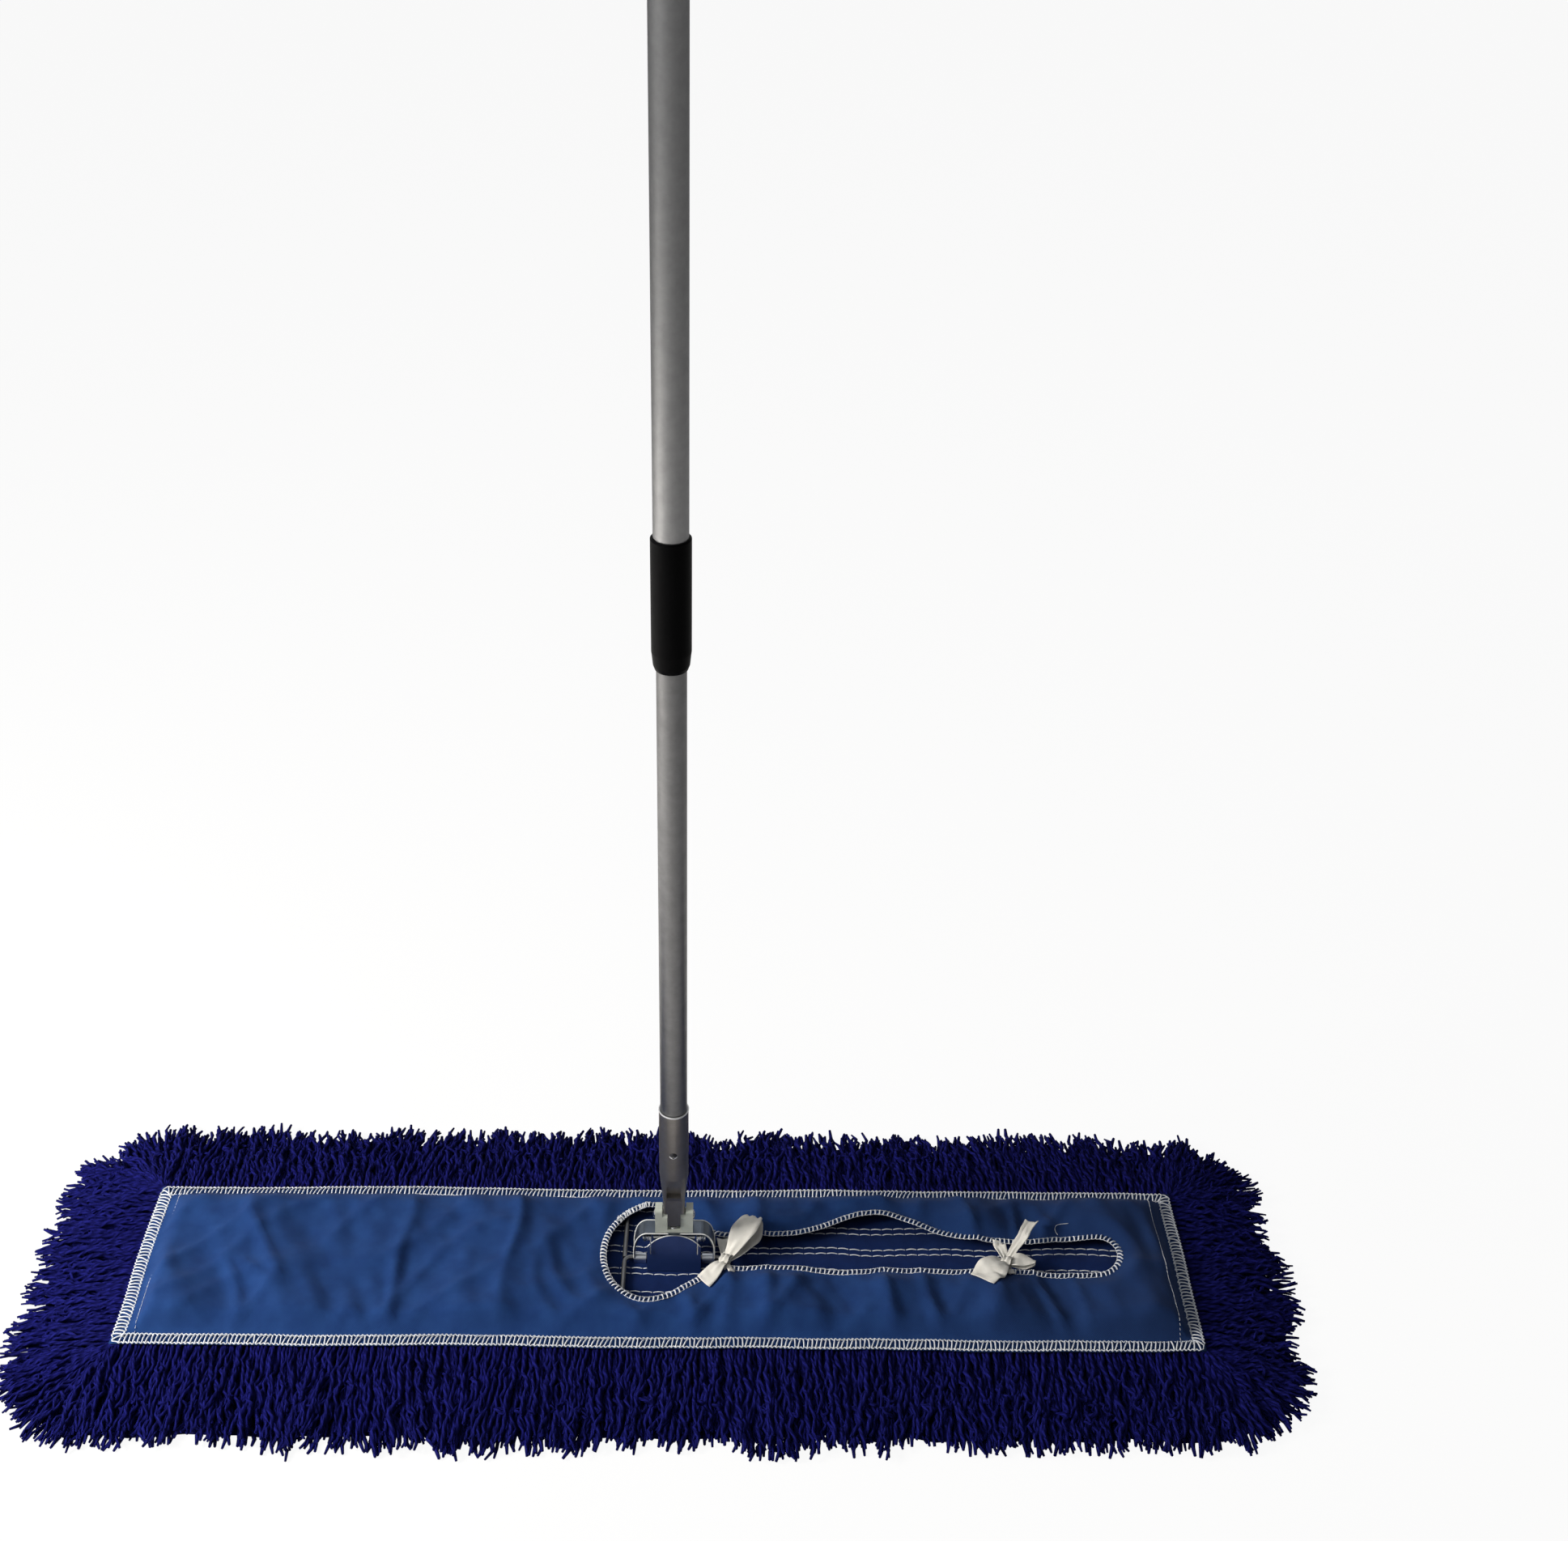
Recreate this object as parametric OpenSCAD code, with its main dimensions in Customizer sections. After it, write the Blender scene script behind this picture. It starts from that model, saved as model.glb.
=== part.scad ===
// Dust mop: a fringed cotton head on a wire frame, a sprung swivel clip and a twist-lock telescopic handle.
// Millimetres. The origin is on the floor under the middle of the canvas, +Z up, the head's length along X.
// The user stands on the -Y side.

/* [Mop head] */
// Length of the canvas
canvas_l = 900; // [700:10:1200]
// Width of the canvas
canvas_w = 180; // [170:5:240]
// Thickness of the canvas and of the base cloth
cloth_t = 1.2; // [0.8:0.1:1.6]
// Height of the yarn under the base cloth
pile_h = 19; // [14:1:30]
// Length of the yarn that shows past the canvas
fringe_len = 90; // [50:5:120]
// Height of the fringe at its tips
fringe_tip_h = 7; // [4:1:10]
// Width of the flat sewn border of the canvas
hem_w = 6; // [4:1:8]
// Width of the slope from the border up to the pocket's roof
rise_w = 9; // [6:1:12]

/* [Pocket slot] */
// Half the width of the round part of the slot, across the head
slot_r = 52.5; // [50:0.5:58]
// Half the length of the round part, along the head
slot_rx = 38.5; // [36:0.5:44]
// Distance from the clip to the middle of the round part
slot_round_x = 20; // [14:1:22]
// Length of the neck between the round part and the slot
slot_neck = 66; // [60:1:80]
// Distance from the axis wire to the slot's near edge, at the round end
slot_near = 22; // [20:1:28]
// How much nearer to the axis wire that edge is at the clip
slot_drift = 5; // [0:0.5:6]
// Distance from the axis wire to the slot's far edge
slot_far = 17.5; // [16:0.5:24]
// How far the slack far edge bulges
slot_bulge = 24; // [0:1:32]
// Distance from the clip to the middle of the bulge
slot_bulge_x = 172; // [150:1:190]
// Half the length of the bulge
slot_bulge_l = 82; // [60:1:100]
// Distance from the slot's round end to the end of the canvas
slot_margin = 61; // [40:1:90]

/* [Tie tapes] */
// Width of the tape
tape_w = 19; // [14:1:24]
// Thickness of the tape
tape_t = 1; // [0.6:0.1:1.4]
// Radius of the knots
knot_r = 5; // [4:0.5:7]
// Distance from the clip to the inner bow
bow_inner_x = 43.5; // [42:0.5:60]
// Distance from the slot's round end to the outer bow
bow_outer_gap = 97.5; // [60:0.5:120]

/* [Wire frame] */
// Diameter of the frame wire
wire_d = 4; // [3:0.5:5]
// Radius of the frame's corner bends
wire_bend_r = 12; // [8:1:20]
// Radius of the elbows into the axis wire
elbow_r = 6; // [5:0.5:7]
// Distance from the clip's middle to the cross wires
cross_x = 42.5; // [42:0.5:46]
// Gap between the frame and the pocket's side slopes
frame_side_gap = 2; // [1:0.5:4]
// Gap between the frame and the pocket's end slopes
frame_end_gap = 5; // [2:1:10]

/* [Clip] */
// Place of the clip along the canvas, from its middle
clip_x = 7; // [-20:1:20]
// Place of the axis wire across the canvas, from its middle
clip_y = 7; // [0:0.5:12]
// Sheet thickness of the bracket
sheet_t = 1.5; // [1:0.1:1.8]
// Width of the hood
hood_w = 69; // [67:1:72]
// Height of the hood's top above the axis wire
hood_h = 30; // [28:0.5:33]
// Width of the hood's rounded shoulders
shoulder_w = 11.5; // [10:0.5:12]
// Height of the hood's rounded shoulders
shoulder_h = 20; // [14:0.5:22]
// Reach of the hood's top in front of the axis wire
hood_front = 2; // [1:0.5:3]
// Reach of the hood's top behind the axis wire
hood_back = 14; // [10:0.5:18]
// Width of each hook
hook_w = 10.5; // [8:0.5:10.5]
// Width of the release flap
flap_w = 46; // [44:0.5:47]
// Thickness of the release flap
flap_t = 1.2; // [1:0.1:1.5]
// Backward lean of the release flap, in degrees
flap_lean = 20; // [17:0.5:21]
// Radius of the flap's domed top
dome_r = 29.5; // [27:0.5:34]
// Reach of the flap's foot in front of the axis wire
flap_foot = 12; // [11.5:0.5:14]
// Diameter of the flap's pin
clip_pin_d = 4; // [3:0.5:4]
// Distance of the flap's pin behind the axis wire
clip_pin_y = 1; // [0.5:0.5:1.5]
// Drop of the flap's pin below the hood's top sheet
clip_pin_drop = 5; // [4.8:0.1:5.6]
// Wire diameter of the flap's springs
spring_d = 1.2; // [0.8:0.1:1.2]
// Pitch of the springs' turns
spring_pitch = 1.7; // [1.7:0.05:1.9]

/* [Swivel] */
// Distance of the swivel's axis behind the axis wire
swivel_y = 4.5; // [4.5:0.5:6]
// Shank diameter of the swivel rivet
rivet_d = 6; // [5:0.5:6]
// Diameter of the rivet's domed head
rivet_head_d = 9.8; // [8:0.2:10.4]
// Height of the rivet's domed head
rivet_head_h = 2; // [1.5:0.1:2.5]
// Diameter of the washer under the yoke
washer_d = 17; // [12:1:20]
// Thickness of the washer
washer_t = 0.8; // [0.5:0.1:1.5]
// Width over the yoke's ears
yoke_w = 32; // [30:1:36]
// Gap between the ears at the tongue
yoke_gap = 11.2; // [10.8:0.1:12]
// Depth of the yoke, front to back
yoke_depth = 12; // [11:0.5:13]
// Thickness of the yoke's base
yoke_base_t = 3; // [2:0.5:4]
// Height of the yoke
yoke_h = 25.5; // [23:0.5:30]
// Height of the tilt pin above the yoke's underside
tilt_h = 16; // [15:0.1:17]
// Thickness of the ears beside the socket's neck
ear_t = 6; // [5:0.5:6]
// Diameter of the tilt pin
tilt_pin_d = 6; // [5:0.5:7]

/* [Handle] */
// Diameter of the lower tube
lower_d = 22; // [20:0.5:22.5]
// Length of the lower tube
lower_l = 800; // [700:10:900]
// Diameter of the upper tube
upper_d = 25; // [25:0.5:28]
// Length of the upper tube
upper_l = 816; // [760:10:1000]
// Wall of both tubes
tube_wall = 1; // [0.8:0.1:1.2]
// Wall of the handle socket
socket_wall = 1.2; // [1:0.1:2]
// Length of the socket's round barrel
barrel_l = 70; // [50:1:90]
// Radius of the socket's rolled rim
rim_bead_r = 0.75; // [0.6:0.05:0.8]
// Length of the socket's taper
taper_l = 28; // [22:1:36]
// Width of the arched windows in the front and back of the taper
window_w = 12; // [9:0.5:13]
// Height of the windows
window_h = 16; // [10:0.5:17]
// Web between the two windows
window_web = 6; // [4:0.5:8]
// Width of the socket's flattened neck
neck_w = 18.4; // [16:0.2:18.6]
// Depth of the socket's flattened neck
neck_d = 14; // [12:0.5:14.5]
// Length of the socket's neck
neck_l = 15.6; // [13:0.2:20]
// Bare length of the lower tube between the socket and the joint sleeve
bare_l = 414; // [405:1:470]
// Diameter of the joint sleeve and the hand grip
sleeve_d = 28.7; // [28.5:0.1:34]
// Length of the joint sleeve
sleeve_l = 102; // [80:1:130]
// Length of the joint sleeve's tapered nose
nose_l = 13; // [8:1:18]
// Length of the hand grip
grip_l = 120; // [80:1:160]
// Diameter of the hanging hole
hang_d = 9; // [6:0.5:12]
// Shank diameter of the socket screw
screw_d = 4; // [3:0.5:5]
// Distance of the socket screw below the socket's rim
screw_drop = 42; // [20:1:45]
// Diameter of the lock's journal
journal_d = 9; // [7:0.5:11]
// Length of the lock collar
collar_l = 22; // [16:1:30]

/* [Clearances] */
// Radial clearance of pieces that turn or slide in each other
run_fit = 0.05; // [0.02:0.01:0.1]
// Radial clearance of pieces that are fixed in each other
fixed_fit = 0.02; // [0.01:0.01:0.05]
// Axial clearance between turning faces
face_gap = 0.1; // [0.05:0.05:0.3]
// Clearance between cloth and hardware
soft_gap = 0.3; // [0.2:0.1:0.5]
// Clearance that swinging pieces pass each other with
swing_gap = 0.4; // [0.3:0.1:0.6]

/* [Hidden] */
$fn = 64;

// Overlap that makes cuts clean and joins solids of one piece
bite = 0.5;

// Heights of the cloth layers and of the frame between them
base_top = pile_h + cloth_t;
hook_r = wire_d / 2 + run_fit + sheet_t;
foot_z = base_top + soft_gap;
wire_z = foot_z + hook_r;
pocket_z = wire_z + wire_d / 2 + soft_gap;
canvas_top = pocket_z + cloth_t;

// Reach of the wire frame's loops inside the pocket, from the clip's middle
loop_x = canvas_l / 2 - hem_w - rise_w - frame_end_gap - wire_d / 2 - abs(clip_x);
loop_y = canvas_w / 2 - hem_w - rise_w - frame_side_gap - wire_d / 2 - abs(clip_y);

// Slot, from the clip's middle
slot_end = canvas_l / 2 - slot_margin - clip_x;
slot_end_r = (slot_near + slot_far) / 2;
bow_outer_x = slot_end - bow_outer_gap;

// Hood and flap
shelf_z1 = wire_z + hood_h;
shelf_z0 = shelf_z1 - sheet_t;
clip_pin_z = shelf_z0 - clip_pin_drop;
lip_gap = 0.25;
lip_z0 = wire_z - wire_d / 2 - lip_gap - flap_t;
lip_w = flap_w - 4;
dome_gap = 1.4;
flap_l = (shelf_z0 - dome_gap - lip_z0) / cos(flap_lean);
shoulder_l = flap_l - dome_r + sqrt(dome_r * dome_r - flap_w * flap_w / 4);
ear_gap = 4;
flap_ear_x = flap_w / 2 - ear_gap;
flap_ear_r = clip_pin_d / 2 + 2;
spring_r = clip_pin_d / 2 + spring_d / 2 + 0.5;
spring_turns = 2;
spring_x0 = flap_ear_x + soft_gap + spring_d / 2;
spring_x1 = spring_x0 + spring_turns * spring_pitch;
lug_x = spring_x1 + spring_d / 2 + soft_gap;
lug_r = clip_pin_d / 2 + 2;
pin_head_t = 1;
rivet_tail_d = rivet_d + 1;

// Yoke, tilt pin and socket, stacked up from the hood
yoke_z = shelf_z1 + washer_t + face_gap;
tilt_z = yoke_z + tilt_h;
boss_r = yoke_depth / 2;
tongue_w = yoke_gap - 2 * soft_gap;
tongue_r = tilt_h - yoke_base_t - rivet_head_h - 2 * swing_gap - face_gap;
tilt_head_t = 2;
shoulder_z = tilt_z + boss_r + swing_gap;
taper_z = shoulder_z + neck_l;
barrel_z = taper_z + taper_l;
rim_z = barrel_z + barrel_l;
bore_r = lower_d / 2 + fixed_fit;
barrel_r = bore_r + socket_wall;
seat_z = barrel_z + 4;
screw_z = rim_z - screw_drop;
screw_head_d = screw_d + 2.5;

// Tubes, lock and upper end
lower_top = seat_z + lower_l;
sleeve_z = rim_z + bare_l;
upper_z = sleeve_z + nose_l;
upper_top = upper_z + upper_l;
upper_bore_r = upper_d / 2 - tube_wall;
core_flange_t = 3;
core_plug_l = 25;
collar_z = lower_top + core_flange_t + face_gap;
core_top = collar_z + collar_l + face_gap;
cap_t = 4;
cap_plug_l = 25;
tab_w = hang_d + 11;
tab_t = 8;

module at_clip() {
    translate([clip_x, clip_y, 0]) children();
}

module at_swivel() {
    translate([clip_x, clip_y + swivel_y, 0]) children();
}

// Extrudes a (y, z) outline along X, from x0 to x1
module along_x(x0, x1) {
    translate([x0, 0, 0]) rotate([90, 0, 90]) linear_extrude(x1 - x0) children();
}

// Extrudes an (x, z) outline along Y, from y0 to y1
module along_y(y0, y1) {
    translate([0, y1, 0]) rotate([90, 0, 0]) linear_extrude(y1 - y0) children();
}

// The same piece on both sides of the clip
module both_sides() {
    children();
    mirror([1, 0, 0]) children();
}

module tube(r0, r1, z0, z1) {
    difference() {
        translate([0, 0, z0]) cylinder(r = r1, h = z1 - z0);
        translate([0, 0, z0 - bite]) cylinder(r = r0, h = z1 - z0 + 2 * bite);
    }
}

module pin_x(r, x0, x1, y, z) {
    translate([x0, y, z]) rotate([0, 90, 0]) cylinder(r = r, h = x1 - x0);
}

// A shallow dome of base radius r and height h, flat side at z = 0
module dome(r, h) {
    ball = (r * r + h * h) / (2 * h);
    intersection() {
        translate([0, 0, h - ball]) sphere(r = ball);
        cylinder(r = r, h = h + bite);
    }
}

// Rectangle with two rounded upper corners, centred on x = 0
module arched(w, z0, z1, r) {
    translate([-w / 2, z0]) square([w, z1 - r - z0]);
    translate([-w / 2 + r, z0]) square([w - 2 * r, z1 - z0]);
    for (side = [-1, 1]) translate([side * (w / 2 - r), z1 - r]) circle(r = r);
}

// Rectangle with two upper corners rounded to quarter ellipses, centred on x = 0
module shouldered(w, z0, z1, rx, rz) {
    right = [for (a = [0 : 9 : 90]) [w / 2 - rx + rx * cos(a), z1 - rz + rz * sin(a)]];
    left = [for (i = [len(right) - 1 : -1 : 0]) [-right[i].x, right[i].y]];
    polygon(concat([[-w / 2, z0], [w / 2, z0]], right, left));
}

// Cross-section of the fringe: full height at the canvas, thin and round at the tips
module fringe_section() {
    polygon([[0, 0], [fringe_len - 2, 0], [fringe_len, fringe_tip_h / 2], [fringe_len - 6, fringe_tip_h],
        [fringe_len * 0.6, (fringe_tip_h + 2 * pile_h) / 3], [0, pile_h]]);
}

module fringe_side() {
    translate([-canvas_l / 2, 0, 0]) rotate([90, 0, 90]) linear_extrude(canvas_l)
        translate([canvas_w / 2, 0]) fringe_section();
}

// An end of the fringe, fanned round both corners of the canvas
module fringe_end() {
    translate([canvas_l / 2, canvas_w / 2, 0]) rotate([90, 0, 0]) linear_extrude(canvas_w) fringe_section();
    translate([canvas_l / 2, canvas_w / 2, 0]) rotate_extrude(angle = 90) fringe_section();
    translate([canvas_l / 2, -canvas_w / 2, 0]) rotate([0, 0, -90])
        rotate_extrude(angle = 90) fringe_section();
}

module yarn_pile() {
    color("#15154f") translate([-canvas_l / 2, -canvas_w / 2, 0]) cube([canvas_l, canvas_w, pile_h]);
}

module fringe_near() {
    color("#1a1a5c") mirror([0, 1, 0]) fringe_side();
}

module fringe_far() {
    color("#1a1a5c") fringe_side();
}

module fringe_left() {
    color("#1a1a5c") mirror([1, 0, 0]) fringe_end();
}

module fringe_right() {
    color("#1a1a5c") fringe_end();
}

module base_cloth() {
    color("#1b2f63") translate([-canvas_l / 2, -canvas_w / 2, pile_h]) cube([canvas_l, canvas_w, cloth_t]);
}

// Half-and-half blend that runs from 1 at t = 0 to 0 at t = 1
function ease(t) = (1 + cos(180 * t)) / 2;

// Half width that narrows from the round part to the given half width
function slot_blend(x, half) =
    let (t = (x + slot_round_x) / slot_neck) half + (slot_r - half) * (t < 1 ? ease(t) : 0);

function slot_near_y(x) = -slot_blend(x, slot_near - slot_drift * (1 - x / slot_end));

function slot_far_y(x) =
    let (d = abs(x - slot_bulge_x) / slot_bulge_l)
    slot_blend(x, slot_far) + (d < 1 ? slot_bulge * ease(d) : 0);

// Keyhole outline of the slot: round at the clip, slack along its far edge, round at its end
module slot_outline() {
    end_x = slot_end - slot_end_r;
    mid_y = (slot_far - slot_near) / 2;
    steps = 48;
    run = [for (i = [0 : steps]) -slot_round_x + (end_x + slot_round_x) * i / steps];
    round_part = [for (a = [98 : 8 : 262]) [slot_rx * cos(a) - slot_round_x, slot_r * sin(a)]];
    near_part = [for (x = run) [x, slot_near_y(x)]];
    end_part = [for (a = [-80 : 10 : 80]) [end_x + slot_end_r * cos(a), mid_y + slot_end_r * sin(a)]];
    far_part = [for (i = [steps : -1 : 0]) [run[i], slot_far_y(run[i])]];
    polygon(concat(round_part, near_part, end_part, far_part));
}

// Outline with sloping sides, from half width a at z0 to half width b at z1
module slope_outline(a, b, z0, z1) {
    polygon([[-a, z0], [a, z0], [b, z1], [-b, z1]]);
}

// Flat-topped block with sloping sides, from half sizes at z0 to half sizes at z1
module pan(low, high, z0, z1) {
    intersection() {
        along_y(-low.y, low.y) slope_outline(low.x, high.x, z0, z1);
        along_x(-low.x, low.x) slope_outline(low.y, high.y, z0, z1);
    }
}

module canvas_backing() {
    hem = [canvas_l / 2, canvas_w / 2];
    foot = hem - [hem_w, hem_w];
    rise = [rise_w, rise_w];
    inner_rise = rise * (pocket_z - base_top) / (canvas_top - base_top);
    inner = foot - [cloth_t, cloth_t];
    color("#27477f") difference() {
        union() {
            translate([-hem.x, -hem.y, base_top]) cube([canvas_l, canvas_w, cloth_t]);
            pan(foot, foot - rise, base_top, canvas_top);
        }
        pan(inner, inner - inner_rise, base_top, pocket_z);
        translate([-inner.x, -inner.y, base_top - bite]) cube([2 * inner.x, 2 * inner.y, bite + 0.01]);
        at_clip() translate([0, 0, base_top - bite]) linear_extrude(canvas_top) slot_outline();
    }
}

// Flat teardrop of tape, drawn in at the knot
module tape_loop(l) {
    linear_extrude(tape_t) {
        translate([l - tape_w / 2, 0]) circle(r = tape_w / 2);
        polygon([[0, -knot_r / 2], [l - tape_w / 2, -tape_w / 2], [l - tape_w / 2, tape_w / 2],
            [0, knot_r / 2]]);
    }
}

// Flat end of tape with a slanted cut
module tape_end(l) {
    linear_extrude(tape_t)
        polygon([[0, -knot_r / 2], [l / 2, -tape_w / 2], [l, -tape_w / 2], [l - tape_w / 3, tape_w / 2],
            [l / 2, tape_w / 2], [0, knot_r / 2]]);
}

// A bow tied across the slot: one raised loop, one lying end, and the straps to both edges of the slot
module tie_bow(x, loop_a, loop_l, end_a, end_l) {
    loop_lift = 20;
    end_drop = 4;
    knot_y = -slot_near / 2;
    strap_z = canvas_top + soft_gap;
    strap_w = tape_w * 0.6;
    far_reach = slot_far_y(x) + 8;
    near_reach = 6 - slot_near_y(x);
    color("#e6e3dc") at_clip() {
        translate([x, knot_y, strap_z + knot_r - tape_t / 2]) {
            sphere(r = knot_r);
            rotate([0, 0, loop_a]) rotate([0, -loop_lift, 0]) tape_loop(loop_l);
            rotate([0, 0, end_a]) rotate([0, end_drop, 0]) tape_end(end_l);
        }
        translate([x - strap_w / 2, -near_reach, strap_z]) cube([strap_w, near_reach + far_reach, tape_t]);
    }
}

module tie_bow_inner() {
    tie_bow(x = bow_inner_x, loop_a = 58, loop_l = 46, end_a = 240, end_l = 38);
}

module tie_bow_outer() {
    tie_bow(x = bow_outer_x, loop_a = 60, loop_l = 46, end_a = 218, end_l = 36);
}

module wire_x(x0, x1, y) {
    pin_x(wire_d / 2, x0, x1, y, wire_z);
}

module wire_y(y0, y1, x) {
    translate([x, y1, wire_z]) rotate([90, 0, 0]) cylinder(r = wire_d / 2, h = y1 - y0);
}

// Quarter bend of the wire about (x, y), from angle a
module wire_bend(x, y, r, a) {
    translate([x, y, wire_z]) rotate([0, 0, a])
        rotate_extrude(angle = 90) translate([r, 0]) circle(d = wire_d);
}

// Right-hand loop of the frame. Its near end turns into the axis wire and its far end is welded there.
module wire_loop() {
    in_x = cross_x + wire_bend_r;
    out_x = loop_x - wire_bend_r;
    in_y = loop_y - wire_bend_r;
    wire_bend(cross_x - elbow_r, -elbow_r, elbow_r, 0);
    wire_y(-in_y, -elbow_r, cross_x);
    wire_bend(in_x, -in_y, wire_bend_r, 180);
    wire_x(in_x, out_x, -loop_y);
    wire_bend(out_x, -in_y, wire_bend_r, 270);
    wire_y(-in_y, in_y, loop_x);
    wire_bend(out_x, in_y, wire_bend_r, 0);
    wire_x(in_x, out_x, loop_y);
    wire_bend(in_x, in_y, wire_bend_r, 90);
    wire_y(-wire_d / 4, in_y, cross_x);
}

module wire_frame() {
    color("#8d8f92") at_clip() {
        wire_x(-cross_x + elbow_r, cross_x - elbow_r, 0);
        both_sides() wire_loop();
    }
}

// Side outline of the hood: full depth at the top, drawn in to the hooks at the wire
module hood_side() {
    front_z = shelf_z0 - clip_pin_drop;
    polygon([[-hood_front, shelf_z1 + bite], [-hood_front, front_z], [-hook_r, wire_z], [-hook_r, foot_z],
        [hook_r, foot_z], [hook_r + 2, wire_z], [hood_back, front_z], [hood_back, shelf_z1 + bite]]);
}

module clip_bracket() {
    color("#aeb3b5") at_clip() difference() {
        union() {
            intersection() {
                along_y(-hook_r - 1, hood_back) difference() {
                    shouldered(hood_w, foot_z, shelf_z1, shoulder_w, shoulder_h);
                    shouldered(hood_w - 2 * sheet_t, foot_z - bite, shelf_z0, shoulder_w - sheet_t,
                        shoulder_h - sheet_t);
                }
                along_x(-hood_w, hood_w) hood_side();
            }
            both_sides() along_x(hood_w / 2 - hook_w, hood_w / 2) {
                translate([0, wire_z]) circle(r = hook_r);
                translate([-hook_r, foot_z]) square([2 * hook_r, hook_r]);
            }
            both_sides() along_x(lug_x, lug_x + sheet_t) translate([clip_pin_y, clip_pin_z]) {
                circle(r = lug_r);
                translate([-hood_front - clip_pin_y, 0])
                    square([hood_front + clip_pin_y + lug_r, clip_pin_drop + bite]);
            }
        }
        along_x(-hood_w, hood_w) {
            translate([0, wire_z]) circle(r = wire_d / 2 + run_fit);
            translate([-wire_d / 2 - run_fit, foot_z - bite]) square([wire_d + 2 * run_fit, hook_r + bite]);
        }
        pin_x(clip_pin_d / 2 + fixed_fit, -lug_x - sheet_t - bite, lug_x + sheet_t + bite,
            clip_pin_y, clip_pin_z);
        translate([0, swivel_y, shelf_z0 - bite])
            cylinder(r = rivet_d / 2 + fixed_fit, h = sheet_t + 2 * bite);
    }
}

module clip_pin() {
    end_x = lug_x + sheet_t;
    color("#9a9da0") at_clip() {
        pin_x(clip_pin_d / 2, -end_x - pin_head_t, end_x + pin_head_t, clip_pin_y, clip_pin_z);
        both_sides() pin_x(clip_pin_d / 2 + 1, end_x, end_x + pin_head_t, clip_pin_y, clip_pin_z);
    }
}

// Plate of the flap: straight sides, domed top, leaning back from its foot
module flap_plate() {
    translate([0, -flap_foot, lip_z0]) rotate([90 - flap_lean, 0, 0]) linear_extrude(flap_t) {
        translate([-flap_w / 2, 0]) square([flap_w, shoulder_l]);
        intersection() {
            translate([0, flap_l - dome_r]) circle(r = dome_r, $fn = 128);
            translate([-flap_w / 2, shoulder_l - bite]) square([flap_w, flap_l]);
        }
    }
}

// Ear of the flap: an arm from the plate to the pin, with the heel that stops the flap under the hood
module flap_ear() {
    heel_gap = 0.15;
    root_l = shoulder_l - 9;
    back_y = -flap_foot + root_l * sin(flap_lean);
    top_y = -flap_foot + shoulder_l * sin(flap_lean);
    along_x(flap_ear_x - flap_t, flap_ear_x) {
        polygon([[back_y - bite, lip_z0 + root_l * cos(flap_lean)],
            [top_y - bite, lip_z0 + shoulder_l * cos(flap_lean)],
            [clip_pin_y - flap_ear_r, clip_pin_z], [clip_pin_y, clip_pin_z - flap_ear_r]]);
        translate([clip_pin_y, clip_pin_z]) circle(r = flap_ear_r);
        translate([clip_pin_y + 1, clip_pin_z]) square([flap_ear_r - 1, clip_pin_drop - heel_gap]);
    }
}

module release_flap() {
    color("#c3c8cc") at_clip() difference() {
        union() {
            flap_plate();
            translate([-lip_w / 2, -flap_foot - flap_t / 2, lip_z0])
                cube([lip_w, flap_foot + flap_t / 2 + clip_pin_y, flap_t]);
            both_sides() flap_ear();
        }
        pin_x(clip_pin_d / 2 + run_fit, -flap_w, flap_w, clip_pin_y, clip_pin_z);
    }
}

// Path of a spring: a leg under the hood, the turns round the pin, and a leg over the flap's shoulder
function spring_path() =
    let (
        steps = 8 * spring_turns,
        top_z = clip_pin_z + spring_r,
        lean_t = tan(flap_lean),
        front_y = -flap_foot - flap_t / cos(flap_lean) - soft_gap - spring_d,
        low_z = lip_z0 + shoulder_l * cos(flap_lean) - 4,
        high_y = front_y + (top_z - 2 - lip_z0) * lean_t,
        low_y = front_y + (low_z - lip_z0) * lean_t
    )
    concat(
        [[spring_x1, clip_pin_y + 9, shelf_z0 - soft_gap - spring_d / 2], [spring_x1, clip_pin_y + 4, top_z]],
        [for (i = [0 : steps]) let (a = 90 + 45 * i)
            [spring_x1 - spring_turns * spring_pitch * i / steps, clip_pin_y + spring_r * cos(a),
                clip_pin_z + spring_r * sin(a)]],
        [[spring_x0, high_y + 2, top_z], [spring_x0, high_y + 0.6, top_z - 0.6],
            [spring_x0, high_y, top_z - 2], [spring_x0, low_y, low_z]]
    );

function unit(v) = v / norm(v);

// Direction of a path at point i
function heading(p, i) = unit(p[min(i + 1, len(p) - 1)] - p[max(i - 1, 0)]);

// Ring of points round a path that never runs along X
function ring(p, i, r, sides) =
    let (t = heading(p, i), u = unit(cross(t, [1, 0, 0])), v = cross(t, u))
    [for (k = [0 : sides - 1]) p[i] + r * (cos(360 * k / sides) * u + sin(360 * k / sides) * v)];

// One unbroken tube along a path
module swept_tube(p, r, sides) {
    n = len(p);
    points = [for (i = [0 : n - 1]) each ring(p, i, r, sides)];
    walls = [for (i = [0 : n - 2], k = [0 : sides - 1]) let (m = (k + 1) % sides, a = i * sides, b = a + sides)
        each [[a + k, b + k, b + m], [a + k, b + m, a + m]]];
    first = [for (k = [1 : sides - 2]) [0, k, k + 1]];
    last = [for (k = [1 : sides - 2]) let (a = (n - 1) * sides) [a, a + k + 1, a + k]];
    polyhedron(points = points, faces = concat(walls, first, last));
}

// Least gap between turns of a spring, measured between points that are over half a turn apart
function least_gap(p, d) =
    min([for (i = [0 : len(p) - 1], j = [i + 5 : 1 : len(p) - 1]) norm(p[i] - p[j])]) - d;

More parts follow.
